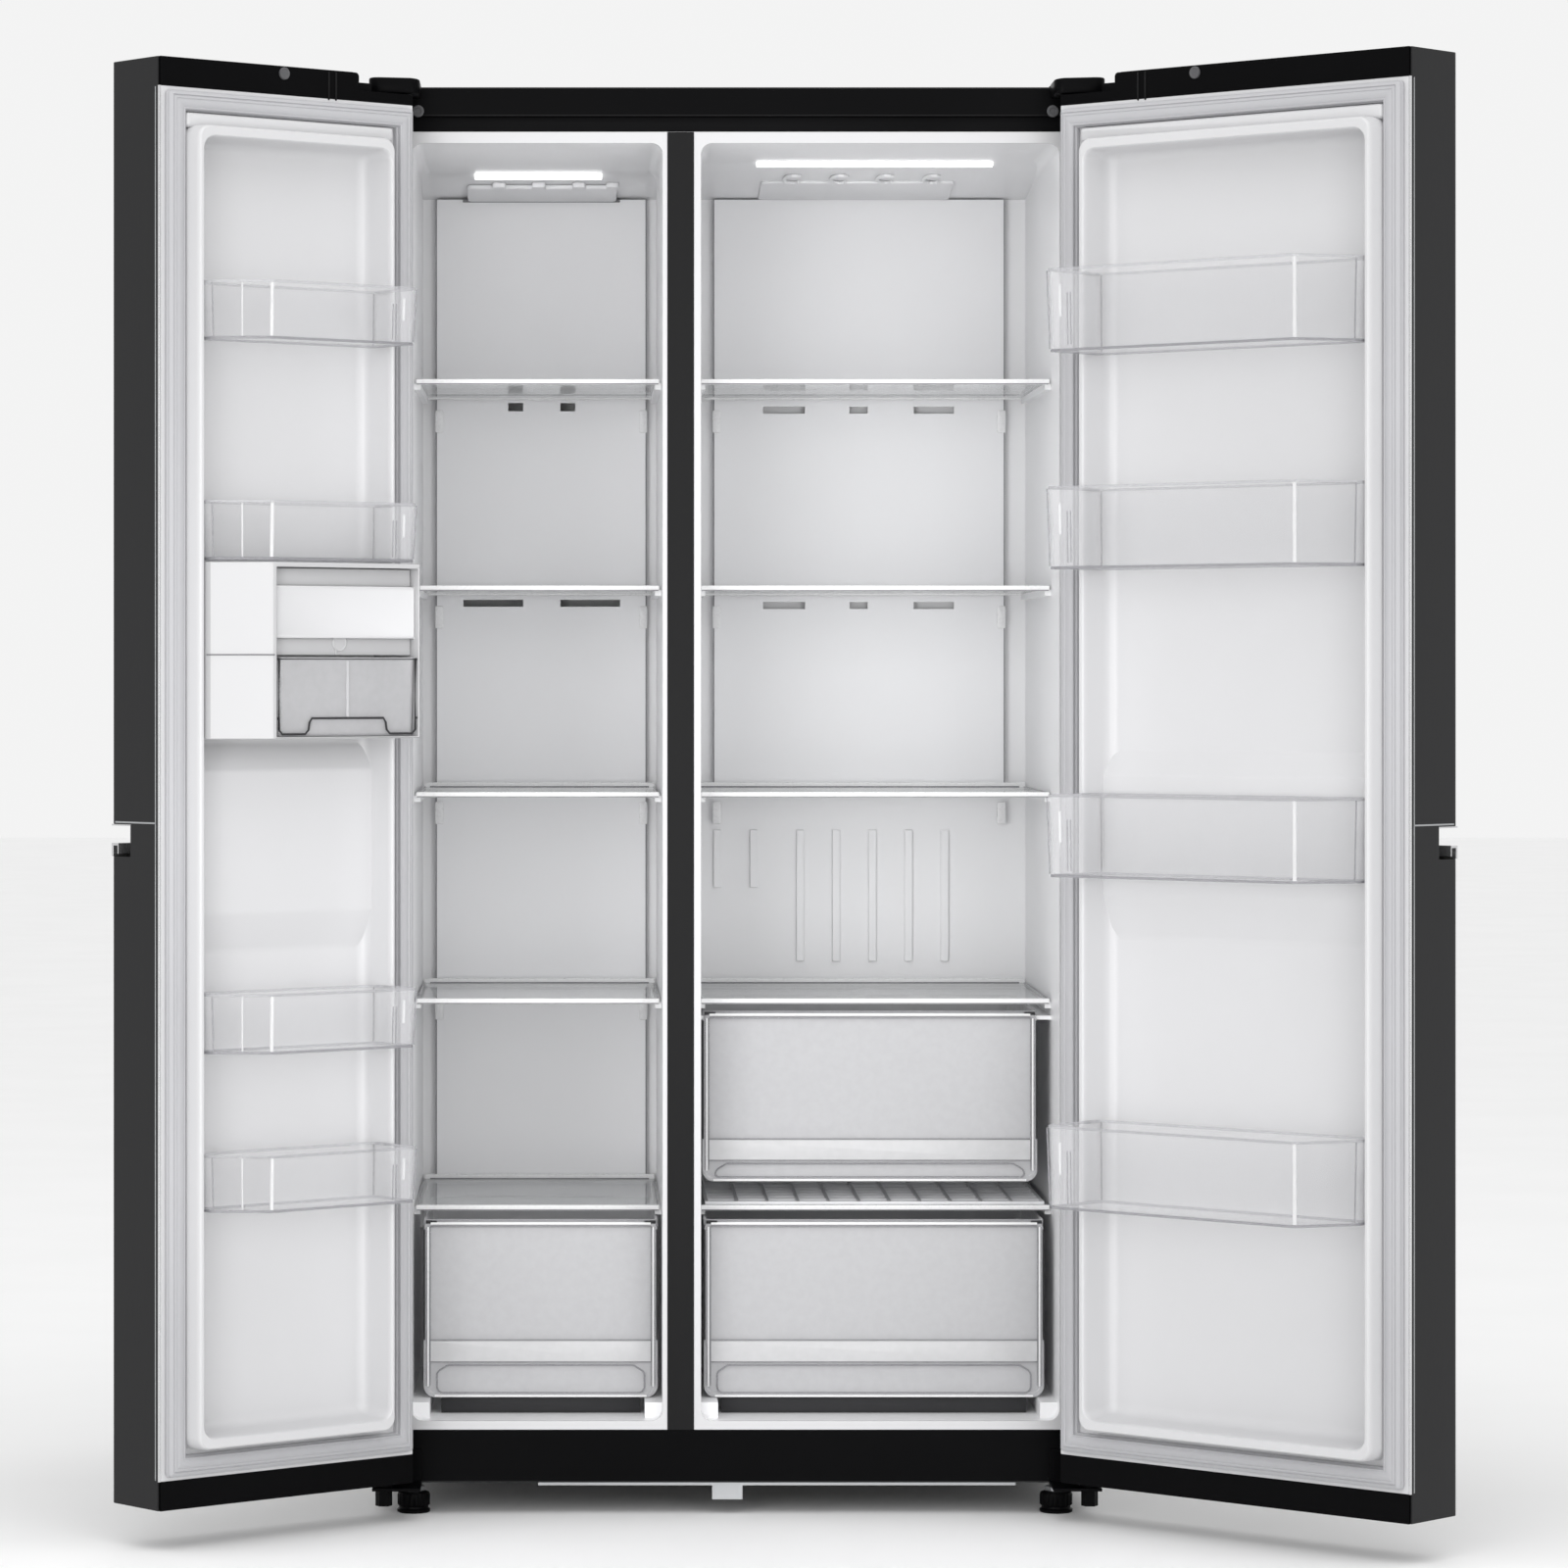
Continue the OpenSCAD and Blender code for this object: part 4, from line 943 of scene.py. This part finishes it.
def front_bar(x_span, z_span, y0, proud):
    """A slim bar on a drawer's front, standing proud of it."""
    return block((x_span[0], z_span[0], y0 - proud), (x_span[1], z_span[1], y0 + 3),
                 facing_front, 0.8, 0.5)


def lower_panel(x_span, z_span, y0):
    """Framed panel at a drawer's foot, its upper corners cut off."""
    (a, b), (c, d) = x_span, z_span
    cut = 9
    corners = [(a, c), (b, c), (b, d - cut), (b - 1.6 * cut, d), (a + 1.6 * cut, d), (a, d - cut)]
    profile = [(0, -2), (0, 0.4), (0.5, 0.9), (1.5, 0.9), (2.0, 0.4), (2.0, -2)]
    return swept(corners, [(g, y0 - h) for g, h in profile], facing_front, 9, 5, True)


def drawer_front_parts(node, line_share, band_share):
    """Rim, panel line, lighter band, framed foot and edge lines on a drawer's front, with painted shade
    in its side gaps and at its upper corners.
    """
    low, high = in_mm(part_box(node))
    z0, z1, y0 = low.z, high.z, low.y
    line_z = z0 + line_share * (z1 - z0)
    band_z = z0 + band_share * (z1 - z0)
    x0, x1 = low.x, high.x
    across = (x0 + 9, x1 - 9)

    dark = [
        front_bar((x0 + 10, x1 - 10), (z1 - 2.2, z1 - 0.4), y0, 0.6),
        front_bar(across, (z1 - 9.6, z1 - 7.8), y0, 0.6),
        front_bar(across, (line_z - 0.8, line_z + 0.8), y0, 0.8),
        front_bar(across, (band_z - 0.5, band_z + 0.5), y0, 0.5),
    ]
    for x in (x0 + 3, x0 + 8, x1 - 4.2, x1 - 9.2):
        dark.append(front_bar((x, x + 1.2), (z0 + 15, z1 - 9), y0, 0.4))
    # Painted shade: black bars in the gaps at both sides of the front, and dark blocks at its upper
    # corners.
    gaps = [front_bar((x, x + 2.4), (line_z, z1 - 12), y0 + 2, 2.2) for x in (x0, x1 - 2.4)]
    corners = [front_bar((x, x + 14), (z1 - 5, z1 - 1), y0 + 1, 1.8) for x in (x0 + 3, x1 - 17)]
    light = [
        front_bar(across, (z1 - 6.2, z1 - 3.2), y0, 1.0),
        front_bar((x0 + 5, x0 + 7), (z0 + 14, z1 - 9), y0, 0.8),
        front_bar((x1 - 7, x1 - 5), (z0 + 14, z1 - 9), y0, 0.8),
        front_bar((x0 + 14, x1 - 14), (z0 + 1, z0 + 3.4), y0, 0.8),
    ]
    band = front_bar(across, (band_z + 0.7, line_z - 1), y0, 0.4)
    panel = lower_panel((x0 + 16, x1 - 16), (z0 + 5, band_z - 3), y0)
    piece(f"{node}_lines", merged(dark + [panel]), node, "clear_edge")
    piece(f"{node}_side_gaps", merged(gaps + corners), node, "shadow_black")
    piece(f"{node}_rim", merged(light), node, "white_trim")
    piece(f"{node}_band", band, node, "frosted_band")


LOW_FRONT = (0.323, 0.20)
CRISPER_FRONT = (0.25, 0.125)
for drawer_node, shares in (("freezer_drawer", LOW_FRONT), ("upper_crisper", CRISPER_FRONT),
                            ("lower_crisper", LOW_FRONT)):
    drawer(drawer_node, f"{drawer_node}_box")
    drawer_front_parts(drawer_node, *shares)


# ---------------------------------------- cabinet interior

class Compartment:
    """Inner sizes of one compartment, read from its liner, duct panel and shelves."""

    def __init__(self, name):
        self.name = name
        low, high = in_mm(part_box(f"{name}_liner"))
        self.duct_low, self.duct_high = in_mm(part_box(f"{name}_air_duct"))
        points = [v.co / MM for v in frame["nodes"][f"{name}_liner"].data.vertices]
        inner = [p for p in points if low.x + 30 < p.x < high.x - 15]
        top = max(p.z for p in inner)
        self.slope_start = max(p.y for p in inner if p.z > top - 0.3)
        self.slope_end = self.duct_low.y
        self.ceiling = top - 2.5
        self.drop = self.ceiling - self.duct_high.z - 1
        self.panes = [box for box in solids("shelf_glass") if low.x < box[0].x < high.x]

    def on_slope(self, a, b, h):
        """Outline in (x, y) on the sloped ceiling, height downward from it."""
        share = (b - self.slope_start) / (self.slope_end - self.slope_start)
        return Vector((a, b, self.ceiling - share * self.drop - h))

    def x_at(self, share):
        """A place across the duct panel, 0 at its left edge and 1 at its right."""
        return self.duct_low.x + share * (self.duct_high.x - self.duct_low.x)

    def y_at(self, share):
        """A place along the sloped ceiling, 0 at its front and 1 at its rear."""
        return self.slope_start + share * (self.slope_end - self.slope_start)


cold_room = Compartment("freezer")
cool_room = Compartment("fridge")


def freezer_outlet():
    """Shallow hood over the freezer's upper air outlet, with four tabs on its front edge."""
    room = cold_room
    hood = block((room.x_at(0.15), room.y_at(0.49), -1),
                 (room.x_at(0.86), room.y_at(0.985), 5), room.on_slope, 6, 1.5)
    tabs = []
    for share in (0.30, 0.49, 0.68, 0.84):
        x = room.x_at(share)
        tabs.append(block((x - 9, room.y_at(0.40), -1), (x + 9, room.y_at(0.52), 6),
                          room.on_slope, 4, 1.5))
    piece("freezer_outlet_hood", merged([hood] + tabs), "cabinet", "duct_plastic")
    # Painted shade: a grey strip in the outlet's gap over the duct panel's top edge.
    y = room.duct_low.y
    slot = block((room.x_at(0.125), room.duct_high.z - 4, y - 1.2),
                 (room.x_at(0.877), room.duct_high.z - 0.5, y + 1), facing_front, 1)
    piece("freezer_outlet_gap_shade", slot, "cabinet", "seam_and_shade_grey")


def fridge_outlet():
    """Flat plate on the refrigerator's sloped ceiling with four open hooks in front of it."""
    room = cool_room
    plate = block((room.x_at(0.152), room.y_at(0.535), -1),
                  (room.x_at(0.807), room.y_at(0.985), 2.4), room.on_slope, 6, 1)
    hooks = []
    for share in (0.258, 0.416, 0.5725, 0.73):
        x, y = room.x_at(share), room.y_at(0.43)
        arc = [math.radians(50 + 26 * k) for k in range(11)]
        path = [room.on_slope(x + 12 * math.cos(t), y + 26 * math.sin(t), 2) for t in arc]
        hooks.append(tube(path, 2.4))
    piece("fridge_outlet_plate", merged([plate] + hooks), "cabinet", "duct_plastic")


def duct_seams(room):
    """Fine gaps along both sides of a rear duct panel."""
    low, high = room.duct_low, room.duct_high
    sides = [block((x - 0.7, low.z + 1, low.y - 0.8), (x + 0.7, high.z, low.y + 1),
                   facing_front, 0.4, 0.3) for x in (low.x - 0.4, high.x + 0.4)]
    piece(f"{room.name}_duct_seams", merged(sides), "cabinet", "seam_and_shade_grey")


def shelf_edges(room):
    """Polished dark-looking side edges of the shelf panes, a dark line along each pane's rear edge that
    is painted shade in the gap at the rear trim, and the seats at the rear.
    """
    edges, seats = [], []
    for low, high in room.panes:
        top = high.z
        # Painted shade: the dark bar along the pane's rear edge, in the gap at the rear trim.
        edges.append(block((low.x + 8, high.y - 2.2, top - 0.4), (high.x - 8, high.y - 0.4, top + 1.2),
                           upright, 0.5, 0.3))
        for x in (low.x + 0.6, high.x - 2.4):
            edges.append(block((x, low.y + 6, low.z - 0.6), (x + 1.8, high.y - 6, top + 0.8),
                               upright, 0.5, 0.3))
        for x in (room.duct_low.x - 2, room.duct_high.x - 9):
            seats.append(block((x, low.z - 46, room.duct_low.y - 3),
                               (x + 11, low.z - 16, room.duct_low.y + 1), facing_front, 2.5, 1))
    piece(f"{room.name}_shelf_edges", merged(edges), "cabinet", "clear_edge")
    piece(f"{room.name}_shelf_seats", merged(seats), "cabinet", "white_trim")


def shelf_trim_shade_lines(room):
    """A grey line along the foot of each shelf's front trim: painted shade under the trim."""
    trims = [box for box in solids("shelf_trims") if box[0].y < room.panes[0][0].y
             and room.panes[0][0].x - 1 < box[0].x < room.panes[0][1].x]
    grooves = []
    for low, high in trims:
        # Each block in grooves is a painted shade line under a trim.
        grooves.append(block((low.x + 1, low.y - 0.5, low.z + 0.4), (high.x - 1, low.y + 1, low.z + 1.6),
                             upright, 0.4, 0.3))
    piece(f"{room.name}_shelf_grooves", merged(grooves), "cabinet", "seam_and_shade_grey")


def rail_screws():
    """A capped screw at each end of the black top rail."""
    low, high = in_mm(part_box("top_rail"))
    middle, z = (low.x + high.x) / 2, high.z - 28
    profile = [(0.01, 0.5), (7.5, 0.5), (7.5, -1.4), (6.6, -2.2), (4.2, -2.2), (3.6, -1.4), (0.01, -1.4)]
    screws = []
    for x in (middle - 397, middle + 397):
        screws.append(lathe([(r, low.y + h) for r, h in profile],
                            lambda a, b, h: Vector((x + a, h, z + b)), 32))
    piece("rail_screws", merged(screws), "cabinet", "screw_cap")


def rail_texture():
    """Grained lower strip of the black top rail, the fine edge above it and the ledge below."""
    low, high = in_mm(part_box("top_rail"))
    step = low.z + 20
    strip = block((low.x + 1, low.z + 1, low.y + 5.2),
                  (high.x - 1, step - 1, low.y + 8), facing_front, 1, 0.5)
    edge = block((low.x + 1, step, low.y - 0.5),
                 (high.x - 1, step + 1.6, low.y + 2), facing_front, 0.8, 0.5)
    ledge = block((low.x + 1, low.y + 1.5, low.z - 0.8),
                  (high.x - 1, low.y + 7, low.z + 0.5), upright, 0.5, 0.3)
    piece("rail_ledge", ledge, "cabinet", "cabinet_liner")
    piece("rail_grained_strip", strip, "cabinet", "textured_black")
    piece("rail_edge", edge, "cabinet", "dark_strip")


def under_drawer_shade(room, drawer_node):
    """A black sheet between the runs, behind and below a low drawer's front: painted shade under the
    drawer.
    """
    low, high = in_mm(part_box(drawer_node))
    # Painted shade: a black sheet where the space under the drawer falls into shadow.
    wall = block((low.x + 22, low.z - 20, low.y + 9),
                 (high.x - 22, low.z - 1.5, low.y + 13), facing_front, 1)
    piece(f"{room.name}_floor_recess", wall, "cabinet", "shadow_black")


freezer_outlet()
fridge_outlet()
rail_screws()
rail_texture()
for room, low_drawer in ((cold_room, "freezer_drawer"), (cool_room, "lower_crisper")):
    duct_seams(room)
    shelf_edges(room)
    shelf_trim_shade_lines(room)
    under_drawer_shade(room, low_drawer)


# ---------------------------------------- feet

def foot(node):
    """Knurled levelling foot with a bright nut and a threaded stud."""
    low, high = in_mm(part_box(node))
    middle = (low + high) / 2

    def at(a, b, h):
        return Vector((middle.x + a, middle.y + b, h))

    teeth = 20
    steps = teeth * 4
    knurl = []
    for radius, height in [(16, 0.3), (19, 0), (20.6, 1), (20.8, 4), (18.6, 5.5), (18.2, 8), (20.4, 10),
                           (20.6, 22), (19.4, 25), (15, 26.6)]:
        depth = 1.1 if 9 < height < 23 else 0.0
        ring = []
        for k in range(steps):
            turn = 2 * math.pi * k / steps
            r = radius - depth * (1 if k % 4 < 2 else 0)
            ring.append(at(r * math.cos(turn), r * math.sin(turn), height))
        knurl.append(ring)
    piece(f"{node}_pad", loft(knurl), node, "black_plastic", [node])
    nut = lathe([(0.01, 26.4), (13, 26.4), (14, 27.4), (14, 32), (13, 33), (0.01, 33)], at, 6)
    turns = 22
    thread = []
    for k in range(turns):
        z = 33 + k * 2.6
        thread += [(4.3, z), (4.9, z + 1.3)]
    stud = lathe([(0.01, 32.6)] + thread + [(0.01, 33 + turns * 2.6)], at, 24)
    piece(f"{node}_stud", merged([nut, stud]), node, "galvanised_steel")


foot("front_foot_left")
foot("front_foot_right")


# ---------------------------------------- camera, light and stage

def camera():
    """Level camera: the picture's frame is shifted instead of the view turned."""
    cabinet_low, cabinet_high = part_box("cabinet_shell")
    data = bpy.data.cameras.new("camera")
    data.sensor_width = 36
    data.lens = 130.34
    data.shift_x = 0.13525
    data.shift_y = -0.0675
    data.clip_end = 60
    obj = add_object("camera", data)
    middle = (cabinet_low.x + cabinet_high.x) / 2
    aside, distance, height = 0.2045, 7.10, 1.046
    obj.location = (middle - aside, cabinet_low.y - distance, height)
    obj.rotation_euler = (math.pi / 2, 0, 0)
    bpy.context.scene.camera = obj


def area_light(name, where, target, size, power):
    data = bpy.data.lights.new(name, "AREA")
    data.shape = "RECTANGLE"
    data.size, data.size_y = size
    data.energy = power
    obj = add_object(name, data)
    obj.location = where
    obj.rotation_euler = (Vector(target) - Vector(where)).to_track_quat("-Z", "Y").to_euler()
    return obj


def lights():
    area_light("front_light", (-0.3, -6.5, 3.2), (0, 0, 0.9), (6.0, 4.0), 50)
    area_light("top_light", (-0.2, -2.5, 5.0), (-0.2, -1.6, 0), (6.0, 4.0), 85)
    cabinet_low, cabinet_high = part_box("cabinet_shell")
    middle = (cabinet_low + cabinet_high) / 2
    for name, side, power in (("inner_light_left", -0.85, 3.4), ("inner_light_right", 0.85, 2.1)):
        inner_light = area_light(name, (middle.x + side, cabinet_low.y - 2.2, middle.z),
                                 (middle.x, 0, middle.z), (1.0, 1.7), power)
        inner_light.data.spread = math.radians(60)
        inner_light.visible_camera = False
    world = bpy.data.worlds.new("studio")
    world.use_nodes = True
    background = world.node_tree.nodes["Background"]
    background.inputs["Color"].default_value = (1, 1, 1, 1)
    background.inputs["Strength"].default_value = 0.90
    bpy.context.scene.world = world
    bpy.context.scene.view_settings.view_transform = "Standard"


def floor():
    """Pale floor that runs on past the picture's edge."""
    bm = bmesh.new()
    bmesh.ops.create_grid(bm, x_segments=2, y_segments=2, size=30.0)
    mesh = bpy.data.meshes.new("floor")
    bm.to_mesh(mesh)
    bm.free()
    mesh.materials.append(coated("floor_paint", (0.95, 0.95, 0.95), 0.6, 8, 0.0001, 0.01))
    add_object("floor", mesh)


camera()
lights()
floor()
